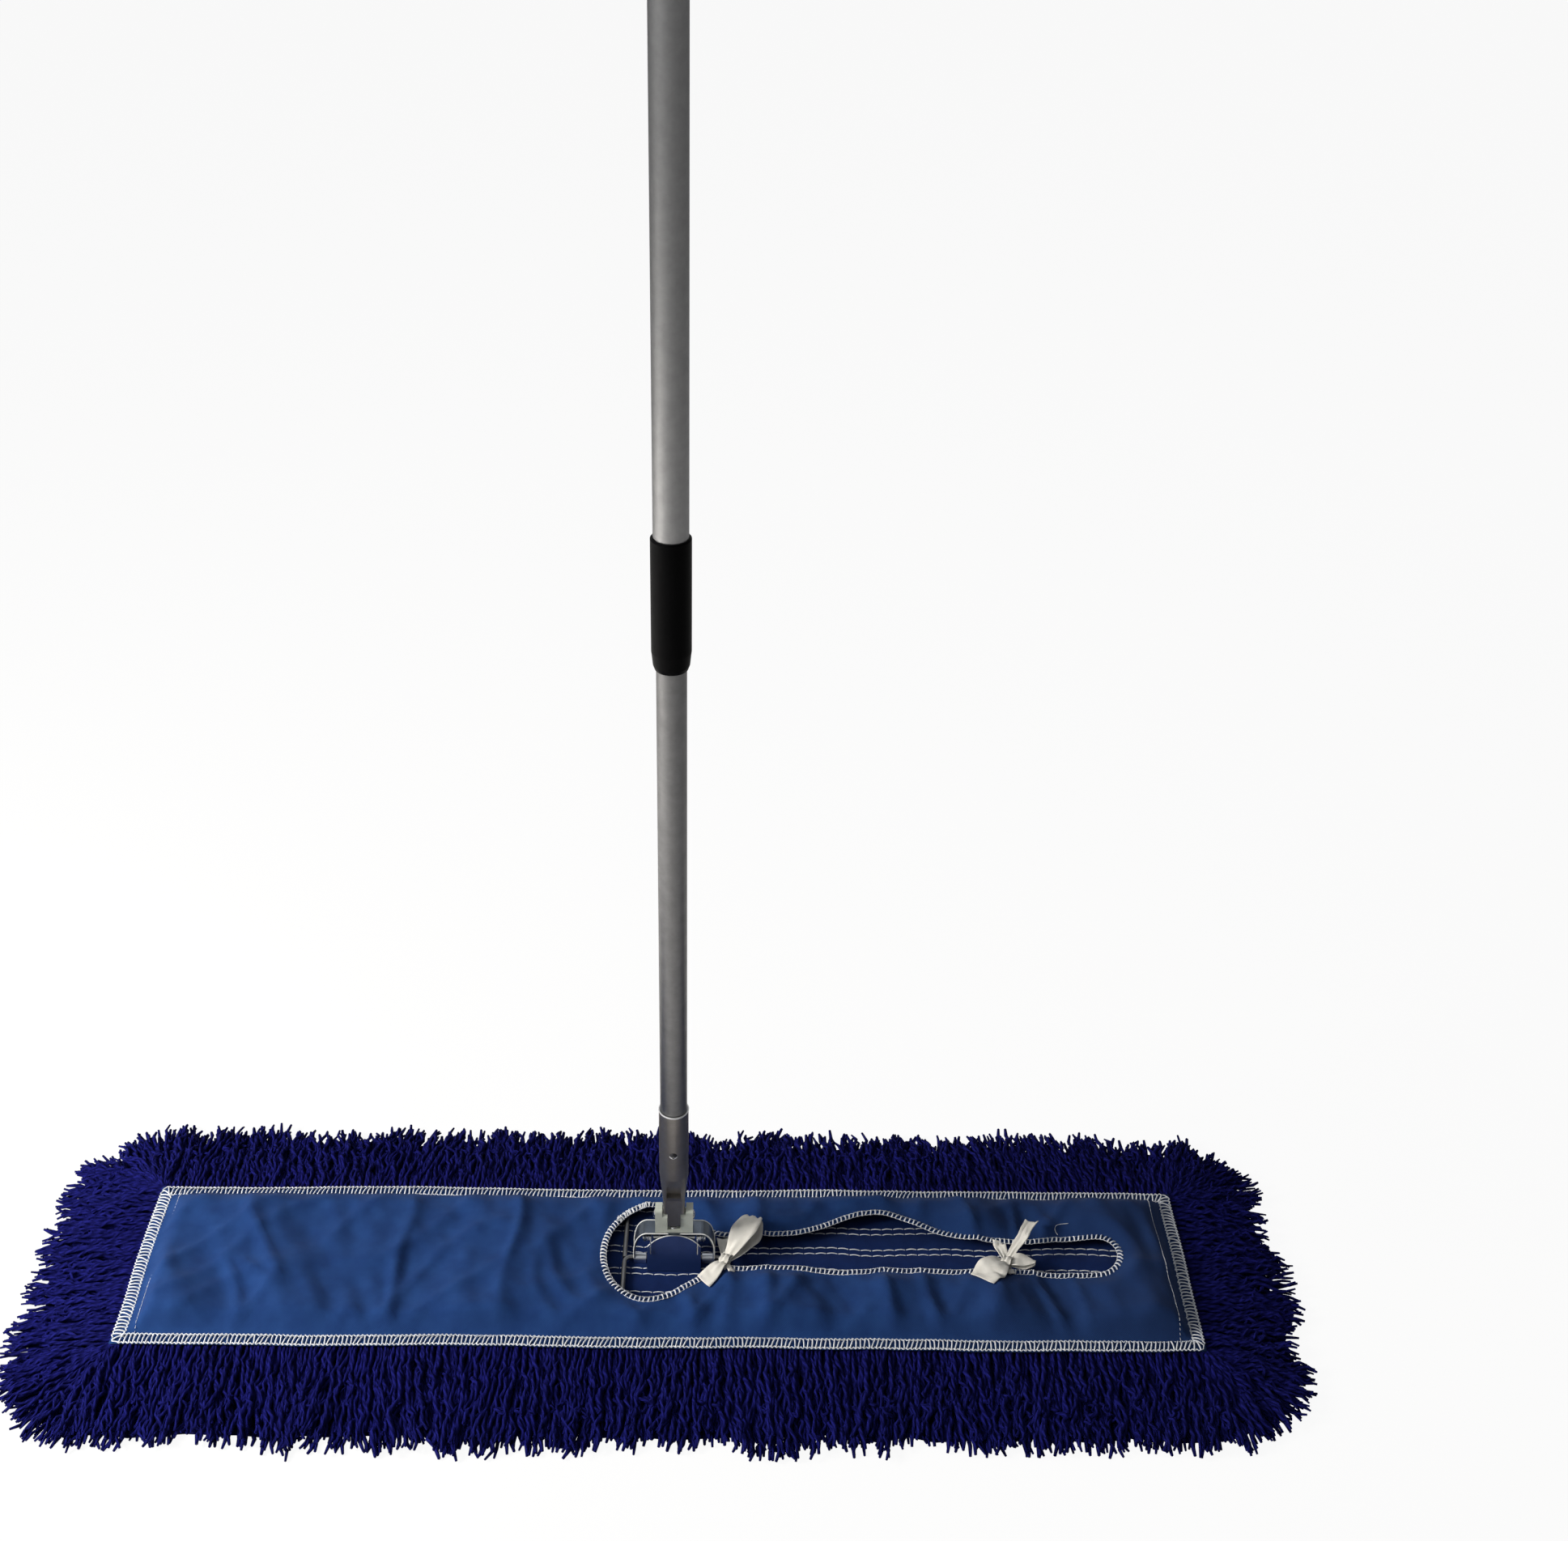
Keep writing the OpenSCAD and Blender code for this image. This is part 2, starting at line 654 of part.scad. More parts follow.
module clip_spring() {
    path = spring_path();
    echo(spring_gap = least_gap(path, spring_d));
    color("#d5d7d8") at_clip() children();
}

module clip_spring_left() {
    clip_spring() mirror([1, 0, 0]) swept_tube(spring_path(), spring_d / 2, 6);
}

module clip_spring_right() {
    clip_spring() swept_tube(spring_path(), spring_d / 2, 6);
}

module swivel_washer() {
    color("#b9bdbf") at_swivel() tube(rivet_d / 2 + fixed_fit, washer_d / 2, shelf_z1, shelf_z1 + washer_t);
}

module swivel_rivet() {
    head_z = yoke_z + yoke_base_t + face_gap;
    tail_t = 2;
    color("#c9cccd") at_swivel() {
        translate([0, 0, shelf_z0 - tail_t]) cylinder(d = rivet_tail_d, h = tail_t);
        translate([0, 0, shelf_z0 - bite]) cylinder(d = rivet_d, h = head_z - shelf_z0 + 2 * bite);
        translate([0, 0, head_z]) dome(rivet_head_d / 2, rivet_head_h);
    }
}

// Half of the fork: a boss round the tilt pin below, a thinner ear beside the socket's neck above
module yoke_ear() {
    along_x(yoke_gap / 2, yoke_w / 2) {
        translate([0, tilt_z]) circle(r = boss_r);
        translate([-boss_r, yoke_z]) square([yoke_depth, tilt_h]);
    }
    along_x(yoke_w / 2 - ear_t, yoke_w / 2) arched(yoke_depth, tilt_z - bite, yoke_z + yoke_h, 3);
}

module swivel_yoke() {
    color("#b4bdb2") at_swivel() difference() {
        union() {
            translate([-yoke_w / 2, -yoke_depth / 2, yoke_z]) cube([yoke_w, yoke_depth, yoke_base_t]);
            both_sides() yoke_ear();
        }
        translate([0, 0, yoke_z - bite]) cylinder(r = rivet_d / 2 + run_fit, h = yoke_base_t + 2 * bite);
        pin_x(tilt_pin_d / 2 + fixed_fit, -yoke_w, yoke_w, 0, tilt_z);
    }
}

module tilt_pin() {
    color("#a5a8aa") at_swivel() {
        pin_x(tilt_pin_d / 2, -yoke_w / 2 - bite, yoke_w / 2 + bite, 0, tilt_z);
        both_sides() translate([yoke_w / 2, 0, tilt_z]) rotate([0, 90, 0])
            dome(tilt_pin_d / 2 + 1.5, tilt_head_t);
    }
}

// Rounded rectangle of the socket's neck
module neck_section(w, d, r) {
    square([w - 2 * r, d], center = true);
    square([w, d - 2 * r], center = true);
    for (x = [-1, 1], y = [-1, 1]) translate([x * (w / 2 - r), y * (d / 2 - r)]) circle(r = r);
}

module handle_socket() {
    corner_r = 3;
    rim_inset = 0.1;
    window_r = 4;
    window_z = taper_z + 4;
    color("#8f8f8f") at_swivel() difference() {
        union() {
            translate([0, 0, barrel_z - bite]) cylinder(r = barrel_r, h = barrel_l + bite - rim_bead_r);
            translate([0, 0, rim_z - rim_bead_r]) rotate_extrude()
                translate([bore_r + rim_inset + rim_bead_r, 0]) circle(r = rim_bead_r);
            hull() {
                translate([0, 0, taper_z]) linear_extrude(0.01)
                    neck_section(neck_w, neck_d, corner_r, $fn = 32);
                translate([0, 0, barrel_z - 0.01]) cylinder(r = barrel_r, h = 0.01, $fn = 48);
            }
            translate([0, 0, shoulder_z]) linear_extrude(neck_l + bite)
                neck_section(neck_w, neck_d, corner_r);
            along_x(-tongue_w / 2, tongue_w / 2) intersection() {
                union() {
                    translate([0, tilt_z]) circle(r = tongue_r);
                    translate([-tongue_r, tilt_z]) square([2 * tongue_r, shoulder_z - tilt_z + bite]);
                }
                translate([-neck_d / 2, tilt_z - tongue_r]) square([neck_d, 4 * tongue_r]);
            }
        }
        translate([0, 0, seat_z]) cylinder(r = bore_r, h = barrel_l + bite);
        pin_x(tilt_pin_d / 2 + run_fit, -yoke_w, yoke_w, 0, tilt_z);
        for (side = [-1, 1]) translate([0, side * (window_web / 2 + barrel_r), 0])
            along_y(-barrel_r, barrel_r) arched(window_w, window_z, window_z + window_h, window_r);
        translate([0, 0, screw_z]) rotate([90, 0, 0]) cylinder(r = screw_d / 2 + fixed_fit, h = 2 * barrel_r);
    }
}

module socket_screw() {
    head_h = 2;
    recess_h = 1;
    shank_l = socket_wall + tube_wall + 3;
    color("#c7c9ca") at_swivel() translate([0, -barrel_r, screw_z]) rotate([90, 0, 0]) difference() {
        union() {
            dome(screw_head_d / 2, head_h);
            translate([0, 0, -shank_l]) cylinder(d = screw_d, h = shank_l + bite);
        }
        translate([0, 0, head_h - recess_h]) cylinder(d = screw_d / 2, h = head_h);
    }
}

module lower_tube() {
    color("#8b8b8d") at_swivel() difference() {
        tube(lower_d / 2 - tube_wall, lower_d / 2, seat_z, lower_top);
        translate([0, 0, screw_z]) rotate([90, 0, 0]) cylinder(r = screw_d / 2 + fixed_fit, h = lower_d);
    }
}

// Plug in the lower tube's end, with the journal that the collar turns on
module lock_core() {
    color("#3a3a3c") at_swivel() {
        translate([0, 0, lower_top - core_plug_l])
            cylinder(r = lower_d / 2 - tube_wall - fixed_fit, h = core_plug_l + bite);
        translate([0, 0, lower_top]) cylinder(d = lower_d, h = core_flange_t);
        translate([0, 0, lower_top]) cylinder(d = journal_d, h = core_top - lower_top + bite);
        translate([0, 0, core_top]) cylinder(d = journal_d + 6, h = 2);
    }
}

// Split collar that grips the bore of the upper tube
module lock_collar() {
    slit = 2;
    color("#d8d8d4") at_swivel() difference() {
        tube(journal_d / 2 + run_fit, upper_bore_r - run_fit, collar_z, collar_z + collar_l);
        translate([0, -slit / 2, collar_z - bite]) cube([upper_d, slit, collar_l + 2 * bite]);
    }
}

module upper_tube() {
    color("#8b8b8d") at_swivel() tube(upper_bore_r, upper_d / 2, upper_z, upper_top);
}

// Sleeve on the joint: guides the lower tube in its nose and holds the upper tube above
module joint_sleeve() {
    guide_r = lower_d / 2 + run_fit;
    hold_r = upper_d / 2 + fixed_fit;
    out_r = sleeve_d / 2;
    nose_r = guide_r + 1;
    edge = 1;
    color("#141414") at_swivel() rotate_extrude() polygon([[guide_r, sleeve_z], [nose_r, sleeve_z],
        [(nose_r + out_r) / 2, sleeve_z + nose_l / 4], [out_r - edge / 2, sleeve_z + nose_l * 0.75],
        [out_r, sleeve_z + nose_l + edge], [out_r, sleeve_z + sleeve_l - edge],
        [out_r - edge, sleeve_z + sleeve_l], [hold_r, sleeve_z + sleeve_l], [hold_r, upper_z],
        [guide_r, upper_z]]);
}

module hand_grip() {
    hold_r = upper_d / 2 + fixed_fit;
    out_r = sleeve_d / 2;
    edge = 1;
    low_z = upper_top - grip_l;
    color("#141414") at_swivel() rotate_extrude() polygon([[hold_r, low_z], [out_r - edge, low_z],
        [out_r, low_z + edge], [out_r, upper_top], [hold_r, upper_top]]);
}

// Cap in the upper tube's end, with the tab and hole that the mop hangs by
module end_cap() {
    tab_z = upper_top + cap_t + tab_w / 2;
    color("#141414") at_swivel() difference() {
        union() {
            translate([0, 0, upper_top - cap_plug_l])
                cylinder(r = upper_bore_r - fixed_fit, h = cap_plug_l + bite);
            translate([0, 0, upper_top]) cylinder(d = sleeve_d, h = cap_t);
            along_y(-tab_t / 2, tab_t / 2) {
                translate([0, tab_z]) circle(d = tab_w);
                translate([-tab_w / 2, upper_top]) square([tab_w, tab_z - upper_top]);
            }
        }
        translate([0, tab_t, tab_z]) rotate([90, 0, 0]) cylinder(d = hang_d, h = 2 * tab_t);
    }
}

yarn_pile();
fringe_near();
fringe_far();
fringe_left();
fringe_right();
base_cloth();
canvas_backing();
tie_bow_inner();
tie_bow_outer();
wire_frame();
clip_bracket();
clip_pin();
clip_spring_left();
clip_spring_right();
release_flap();
swivel_washer();
swivel_rivet();
swivel_yoke();
tilt_pin();
handle_socket();
socket_screw();
lower_tube();
lock_core();
lock_collar();
upper_tube();
joint_sleeve();
hand_grip();
end_cap();
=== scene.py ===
import math
import random
from functools import partial

import bpy
from mathutils import Matrix, Vector, geometry, kdtree, noise


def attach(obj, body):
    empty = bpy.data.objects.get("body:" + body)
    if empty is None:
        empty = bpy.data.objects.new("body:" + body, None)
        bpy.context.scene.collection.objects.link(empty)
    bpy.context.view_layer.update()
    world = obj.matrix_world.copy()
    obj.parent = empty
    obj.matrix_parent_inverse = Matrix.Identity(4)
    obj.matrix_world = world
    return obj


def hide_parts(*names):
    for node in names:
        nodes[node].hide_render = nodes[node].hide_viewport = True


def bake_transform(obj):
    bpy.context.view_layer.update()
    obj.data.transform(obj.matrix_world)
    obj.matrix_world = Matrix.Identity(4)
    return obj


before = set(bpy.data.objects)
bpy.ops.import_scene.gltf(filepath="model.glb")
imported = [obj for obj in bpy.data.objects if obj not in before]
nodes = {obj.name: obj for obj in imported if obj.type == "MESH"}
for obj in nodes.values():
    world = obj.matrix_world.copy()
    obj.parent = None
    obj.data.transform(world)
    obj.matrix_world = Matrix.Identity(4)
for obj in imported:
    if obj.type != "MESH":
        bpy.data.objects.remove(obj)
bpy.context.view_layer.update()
scene = bpy.context.scene
scene.view_settings.view_transform = "Standard"
print("stage: frame loaded,", len(nodes), "CAD nodes")


# small tools
def linear(hexColour):
    parts = [int(hexColour[i:i + 2], 16) / 255 for i in (1, 3, 5)]
    return tuple(c / 12.92 if c <= 0.04045 else ((c + 0.055) / 1.055) ** 2.4 for c in parts) + (1.0,)


def put(tree, kind, inputs=(), operation=None, out=0, **settings):
    # kind: the node's type without its family; inputs: by name, or a list in the order of the sockets
    families = ("ShaderNode", "GeometryNode", "FunctionNode", "")
    node = tree.nodes.new(next(f for f in families if hasattr(bpy.types, f + kind)) + kind)
    if operation:
        node.operation = operation
    for key, value in settings.items():
        setattr(node, key, value)
    for key, value in inputs.items() if isinstance(inputs, dict) else enumerate(inputs):
        if isinstance(value, bpy.types.NodeSocket):
            tree.links.new(value, node.inputs[key])
        else:
            node.inputs[key].default_value = value
    return node if out is None else node.outputs[out]


def newMaterial(name):
    material = bpy.data.materials.new(name)
    material.use_nodes = True
    material.node_tree.nodes.clear()
    return material, partial(put, material.node_tree)


def surface(material, inputs):
    # one shader for the whole material, its constants and links by socket
    shader = put(material.node_tree, "BsdfPrincipled", inputs)
    put(material.node_tree, "OutputMaterial", {"Surface": shader}, out=None)
    return material


def smooth(t):
    t = min(1.0, max(0.0, t))
    return t * t * (3 - 2 * t)


def ripple(x, y, z):
    # smooth noise, from about -1 to 1: x and y come scaled to waves per metre, z picks a slice of its own
    return noise.noise(Vector((x, y, z)))


def newPiece(name, data):
    piece = bpy.data.objects.new(name, data)
    scene.collection.objects.link(piece)
    return piece


def newMesh(name, verts, faces, material, uvs=None):
    mesh = bpy.data.meshes.new(name)
    mesh.from_pydata([tuple(v) for v in verts], [], faces)
    if uvs:
        layer = mesh.uv_layers.new(name="flat")
        for loop in mesh.loops:
            layer.data[loop.index].uv = uvs[loop.vertex_index]
    mesh.shade_smooth()
    mesh.materials.append(material)
    return newPiece(name, mesh)


def newPath(name, lines):
    # lines: (points, closed) pairs, one spline each
    data = bpy.data.curves.new(name, "CURVE")
    data.dimensions = "3D"
    for points, closed in lines:
        spline = data.splines.new("POLY")
        spline.points.add(len(points) - 1)
        spline.points.foreach_set("co", [c for p in points for c in (p[0], p[1], p[2], 1.0)])
        spline.use_cyclic_u = closed
    return newPiece(name + "Path", data)


def gridFaces(wide, high):
    # quads of a grid whose points are listed row by row
    return [(a, a + 1, a + wide + 2, a + wide + 1)
            for j in range(high) for a in range(j * (wide + 1), j * (wide + 1) + wide)]


def border(farX, farY, countX, countY):
    # points round a rectangle, from its near left corner
    corners = [(-farX, -farY), (farX, -farY), (farX, farY), (-farX, farY)]
    line = []
    for k, (x0, y0) in enumerate(corners):
        x1, y1 = corners[(k + 1) % 4]
        count = countX if y0 == y1 else countY
        line += [(x0 + (x1 - x0) * i / count, y0 + (y1 - y0) * i / count) for i in range(count)]
    return line


def bake(piece, name=None):
    # what the modifiers make becomes the piece's own plain mesh; a path gives way to a new piece
    mesh = bpy.data.meshes.new_from_object(piece.evaluated_get(bpy.context.evaluated_depsgraph_get()))
    if name:
        bpy.data.objects.remove(piece)
        return newPiece(name, mesh)
    piece.modifiers.clear()
    piece.data = mesh


def thicken(piece, thickness, offset=-1):
    solid = piece.modifiers.new("cloth", "SOLIDIFY")
    solid.thickness = thickness
    solid.offset = offset
    bake(piece)


def settle(piece, body="head", node=None):
    # the body that the piece rides on and the CAD node that it stands in for
    if node:
        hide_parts(node)
    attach(piece, body)
    return piece


def wear(piece, tree, values):
    # values that aren't sockets of the node group are left out
    modifier = piece.modifiers.new(tree.name, "NODES")
    modifier.node_group = tree
    for item in tree.interface.items_tree:
        if item.item_type == "SOCKET" and item.in_out == "INPUT" and item.name in values:
            modifier[item.identifier] = values[item.name]


def newTree(name, **sockets):
    # sockets: for each type, the names of the inputs
    tree = bpy.data.node_groups.new(name, "GeometryNodeTree")
    for kind, labels in sockets.items():
        for label in labels.split(", "):
            tree.interface.new_socket(name=label, in_out="INPUT", socket_type="NodeSocket" + kind)
    tree.interface.new_socket(name="Geometry", in_out="OUTPUT", socket_type="NodeSocketGeometry")
    return tree, partial(put, tree), put(tree, "NodeGroupInput", out=None).outputs


def closeTree(tree, tubes, material):
    # out of the group: smooth, plain mesh in one material
    tubes = put(tree, "SetShadeSmooth", [tubes])
    tubes = put(tree, "RealizeInstances", [tubes])
    tubes = put(tree, "SetMaterial", {"Geometry": tubes, "Material": material})
    put(tree, "NodeGroupOutput", {"Geometry": tubes}, out=None)
    return tree


# camera: fitted to the photo's canvas corners, tubes and clip
cameraFit = {"place": (0.0503, -1.2137, 1.3043), "pitch": 32.61, "yaw": 1.79, "roll": 1.78,
             "focalPixels": 2464.0, "widthPixels": 1937.0, "sensor": 36}


def makeCamera():
    pitch, yaw, roll = (math.radians(cameraFit[k]) for k in ("pitch", "yaw", "roll"))
    ahead = Vector((math.sin(yaw) * math.cos(pitch), math.cos(yaw) * math.cos(pitch), -math.sin(pitch)))
    right = Vector((math.cos(yaw), -math.sin(yaw), 0))
    up = right.cross(ahead)
    right, up = math.cos(roll) * right + math.sin(roll) * up, math.cos(roll) * up - math.sin(roll) * right
    data = bpy.data.cameras.new("photoCamera")
    data.sensor_width = cameraFit["sensor"]
    data.lens = cameraFit["sensor"] * cameraFit["focalPixels"] / cameraFit["widthPixels"]
    camera = newPiece("photoCamera", data)
    turn = Matrix((right, up, -ahead)).transposed().to_4x4()
    camera.matrix_world = Matrix.Translation(cameraFit["place"]) @ turn
    scene.camera = camera


makeCamera()
print("stage: camera set")

# stage and light
lamps = {
    # name: place, what it faces, size, watts, colour, seen in metal
    "keyLeft": ((-1.45, -0.35, 0.9), (-0.1, 0, 0.03), 0.55, 40, "#fffaf2", False),
    "handleLeft": ((-1.5, -0.9, 2.2), (0, 0, 1.0), 2.2, 17, "#ffffff", True),
    "backTop": ((-0.2, 1.6, 2.4), (0, 0, 0.1), 1.6, 5.5, "#f3f7ff", True),
}


def makeStage():
    for name, (place, target, size, watts, colour, mirrored) in lamps.items():
        data = bpy.data.lights.new(name, "AREA")
        data.shape = "SQUARE"
        data.size = size
        data.energy = watts
        data.color = linear(colour)[:3]
        lamp = newPiece(name, data)
        lamp.location = place
        lamp.visible_glossy = mirrored
        lamp.rotation_euler = (Vector(target) - Vector(place)).to_track_quat("-Z", "Y").to_euler()

    world = bpy.data.worlds.new("paleRoom")
    scene.world = world
    world.use_nodes = True
    world.node_tree.nodes.clear()
    add = partial(put, world.node_tree)
    path = add("LightPath", out=None)
    # white to the camera; metal sees a room graded from a bright left to a dim right and a dim ceiling
    aim = add("SeparateXYZ", [add("TexCoord", out="Generated")], out=None)
    graded = add("MapRange", [aim.outputs[0], -0.9, 0.8, 0.75, 0.3])
    ceiling = add("MapRange", [aim.outputs[2], 0.3, 0.8, 1.0, 0.35])
    graded = add("Math", [graded, ceiling], "MULTIPLY")
    glossy = add("Mix", {0: path.outputs["Is Glossy Ray"], 2: 0.15, 3: graded})
    strength = add("Mix", {0: path.outputs["Is Camera Ray"], 2: glossy, 3: 1.0})
    sky = add("Background", {"Color": linear("#ffffff"), "Strength": strength})
    add("OutputWorld", {"Surface": sky}, out=None)

    # matt white paper: diffuse for its shadow, lifted to white where the camera sees it
    paper, add = newMaterial("whitePaper")
    matt = add("BsdfDiffuse", {"Color": linear("#f4f4f4")})
    glow = add("Emission", {"Color": linear("#ffffff"), "Strength": 1.0})
    path = add("LightPath", out=None)
    share = add("Math", [path.outputs["Is Camera Ray"], 0.93], "MULTIPLY")
    mixed = add("MixShader", [share, matt, glow])
    add("OutputMaterial", {"Surface": mixed}, out=None)
    half = 9.0  # metres of paper each way
    corners = [(x, y, 0) for x, y in border(half, half, 1, 1)]
    floor = newMesh("floor", corners, [(0, 1, 2, 3)], paper)


makeStage()
print("stage: light and floor set")


# materials
def makeYarn():
    # dyed cotton yarn, spun and plied: matt, deep navy, with a soft bloom of loose fibre and slanting plies
    material, add = newMaterial("dyedCottonYarn")
    tone = add("Attribute", out=2, attribute_name="tone")
    along = add("Attribute", out=2, attribute_name="along")
    ring = add("Attribute", out=1, attribute_name="ring")
    ringParts = add("SeparateXYZ", [ring], out=None)
    angle = add("Math", [ringParts.outputs[1], ringParts.outputs[0]], "ARCTAN2")
    plyPitch = 0.0095  # one turn of the plies, drawn about twice as long as real so that it shows
    turn = add("Math", [along, 2 * math.pi / plyPitch], "MULTIPLY")
    twice = add("Math", [angle, 2.0, turn], "MULTIPLY_ADD")
    ply = add("Math", [twice], "SINE")
    place = add("TexCoord", out="Object")
    fibre = add("TexNoise", {"Vector": place, "Scale": 900.0, "Detail": 2.0})  # about 1 mm
    # painted shade: the colour darkens in the grooves between the plies; each strand also takes a random
    # tone of its own
    plyGrooveShade = add("MapRange", [ply, -1.0, 1.0, 0.45, 1.1])
    shade = add("MapRange", [tone, 0.0, 1.0, 0.78, 1.16])
    depth = add("Math", [plyGrooveShade, shade], "MULTIPLY")
    patch = add("TexNoise", {"Vector": place, "Scale": 28.0, "Detail": 1.0})  # about 36 mm
    hue = add("Mix", {"Factor": patch, 6: linear("#131457"), 7: linear("#191b5c")}, out=2, data_type="RGBA")
    colour = add("Mix", {"Factor": 1.0, 6: hue, 7: depth}, out=2, data_type="RGBA", blend_type="MULTIPLY")
    height = add("Math", [ply, 0.7, fibre], "MULTIPLY_ADD")
    bump = add("Bump", {"Height": height, "Strength": 0.6, "Distance": 0.0006})
    return surface(material, {"Base Color": colour, "Normal": bump, "Roughness": 0.9,
                              "Specular IOR Level": 0.06, "Sheen Weight": 0.06, "Sheen Roughness": 0.4,
                              "Sheen Tint": linear("#5a5ad0")})


def makeCloth(name, dark, light, threadPitch, roughness, paintedShadeEnd=None):
    # plain woven cotton, dyed in the piece: matt with a faint sheen, slight mottling, threads just visible
    material, add = newMaterial(name)
    place = add("UVMap", uv_map="flat")
    rate = 2 * math.pi / threadPitch
    parts = add("SeparateXYZ", [place], out=None)
    waves = []
    for part in parts.outputs[:2]:  # warp and weft
        phase = add("Math", [part, rate], "MULTIPLY")
        waves.append(add("Math", [phase], "SINE"))
    weave = add("Math", waves, "MULTIPLY")
    slub = add("TexNoise", {"Vector": place, "Scale": 55.0, "Detail": 5.0, "Roughness": 0.6})  # about 18 mm
    mottle = add("Math", [weave, 0.06, slub], "MULTIPLY_ADD")
    ramp = add("MapRange", [mottle, 0.3, 0.7])
    colour = add("Mix", {"Factor": ramp, 6: linear(dark), 7: linear(light)}, out=2, data_type="RGBA")
    # painted shade: the colour turns darker and greyer towards one end, standing in for light that falls off
    # there
    if paintedShadeEnd:  # greyer towards one end
        grey = add("MapRange", [parts.outputs[0], paintedShadeEnd[1], paintedShadeEnd[2], 0.0, 0.75])
        colour = add("Mix", {"Factor": grey, 6: colour, 7: linear(paintedShadeEnd[0])}, out=2, data_type="RGBA")
    bump = add("Bump", {"Height": weave, "Strength": 0.35, "Distance": 0.0003})
    return surface(material, {"Base Color": colour, "Normal": bump, "Roughness": roughness,
                              "Specular IOR Level": 0.06, "Sheen Weight": 0.03, "Sheen Roughness": 0.5})


def makeThread():
    # bleached sewing thread: smooth, off-white, grey where it is soiled
    material, add = newMaterial("bleachedThread")
    place = add("TexCoord", out="Object")
    soil = add("TexNoise", {"Vector": place, "Scale": 160.0, "Detail": 3.0})  # about 6 mm
    colour = add("Mix", {"Factor": soil, 6: linear("#a2a8b4"), 7: linear("#f3f5f8")}, out=2,
                 data_type="RGBA")
    return surface(material, {"Base Color": colour, "Roughness": 0.6, "Sheen Weight": 0.2,
                              "Specular IOR Level": 0.3})


def makeMetal(name, colour, roughness, streaks=0.0, rubs=0.15, scale=(1.0, 1.0, 1.0), metallic=1.0,
              facingHighlight=None, heightHighlight=None):
    # plated or bare metal: coloured by reflection, with fine streaks from drawing or rolling and small rubs
    material, add = newMaterial(name)
    place = add("TexCoord", out="Object")
    rub = add("TexNoise", {"Vector": place, "Scale": 90.0, "Detail": 4.0, "Roughness": 0.65})  # about 11 mm
    base = linear(colour)
    dull = tuple(c * 0.72 for c in base[:3]) + (1.0,)
    tint = add("MapRange", [rub, 0.35, 0.75, 0.0, 0.6])
    mixed = add("Mix", {"Factor": tint, 6: base, 7: dull}, out=2, data_type="RGBA")
    # painted highlights: one mask paints faces bright by the way they look, up or down; the other paints
    # them bright over a stretch of height
    for change, output in ((facingHighlight, "Normal"), (heightHighlight, "Object")):
        if change:
            height = add("SeparateXYZ", [add("TexCoord", out=output)], out=2)
            highlightShare = add("MapRange", [height, change[1], change[2]])
            mixed = add("Mix", {"Factor": highlightShare, 6: mixed, 7: linear(change[0])}, out=2, data_type="RGBA")
    rough = add("MapRange", [rub, 0.3, 0.8, roughness, roughness + rubs])
    inputs = {"Base Color": mixed, "Roughness": rough, "Metallic": metallic}
    if streaks:
        stretched = add("Mapping", {"Vector": place, "Scale": scale})
        line = add("TexNoise", {"Vector": stretched, "Scale": 240.0, "Detail": 3.0})  # about 4 mm across
        inputs["Normal"] = add("Bump", {"Height": line, "Strength": streaks, "Distance": 0.0002})
    return surface(material, inputs)


def makePlastic():
    # black moulded polypropylene: satin, with a faint grain from the mould
    material, add = newMaterial("blackPolypropylene")
    place = add("TexCoord", out="Object")
    grain = add("TexNoise", {"Vector": place, "Scale": 700.0, "Detail": 3.0})  # about 1.4 mm
    cloud = add("TexNoise", {"Vector": place, "Scale": 40.0, "Detail": 2.0})  # about 25 mm
    colour = add("Mix", {"Factor": cloud, 6: linear("#030304"), 7: linear("#060607")}, out=2,
                 data_type="RGBA")
    rough = add("MapRange", [cloud, 0.0, 1.0, 0.32, 0.48])
    bump = add("Bump", {"Height": grain, "Strength": 0.15, "Distance": 0.0002})
    return surface(material, {"Base Color": colour, "Roughness": rough, "Normal": bump,
                              "Specular IOR Level": 0.04})


yarn = makeYarn()
# the canvas takes painted shade towards its right end, where the light falls off
canvasCloth = makeCloth("dyedCanvas", "#1a3363", "#213e71", 0.0011, 0.75, ("#1d2f54", 0.12, 0.42))
baseCloth = makeCloth("dyedTicking", "#0f1f49", "#152856", 0.0011, 0.8)
tapeCloth = makeCloth("bleachedTape", "#c9c7c0", "#e6e4de", 0.0009, 0.75)
thread = makeThread()


def heights(node):
    # lowest and highest point of a CAD piece in its own frame
    reach = [v.co.z for v in nodes[node].data.vertices]
    return min(reach), max(reach)


hookLow = heights("clip_bracket")[0]
rimHigh = heights("handle_socket")[1]
# painted highlight: a near-white, barely metallic steel for the rolled edges, for the light that they catch
edgeHighlightSteel = makeMetal("paintedHighlightEdge", "#e9ebea", 0.3, metallic=0.25)

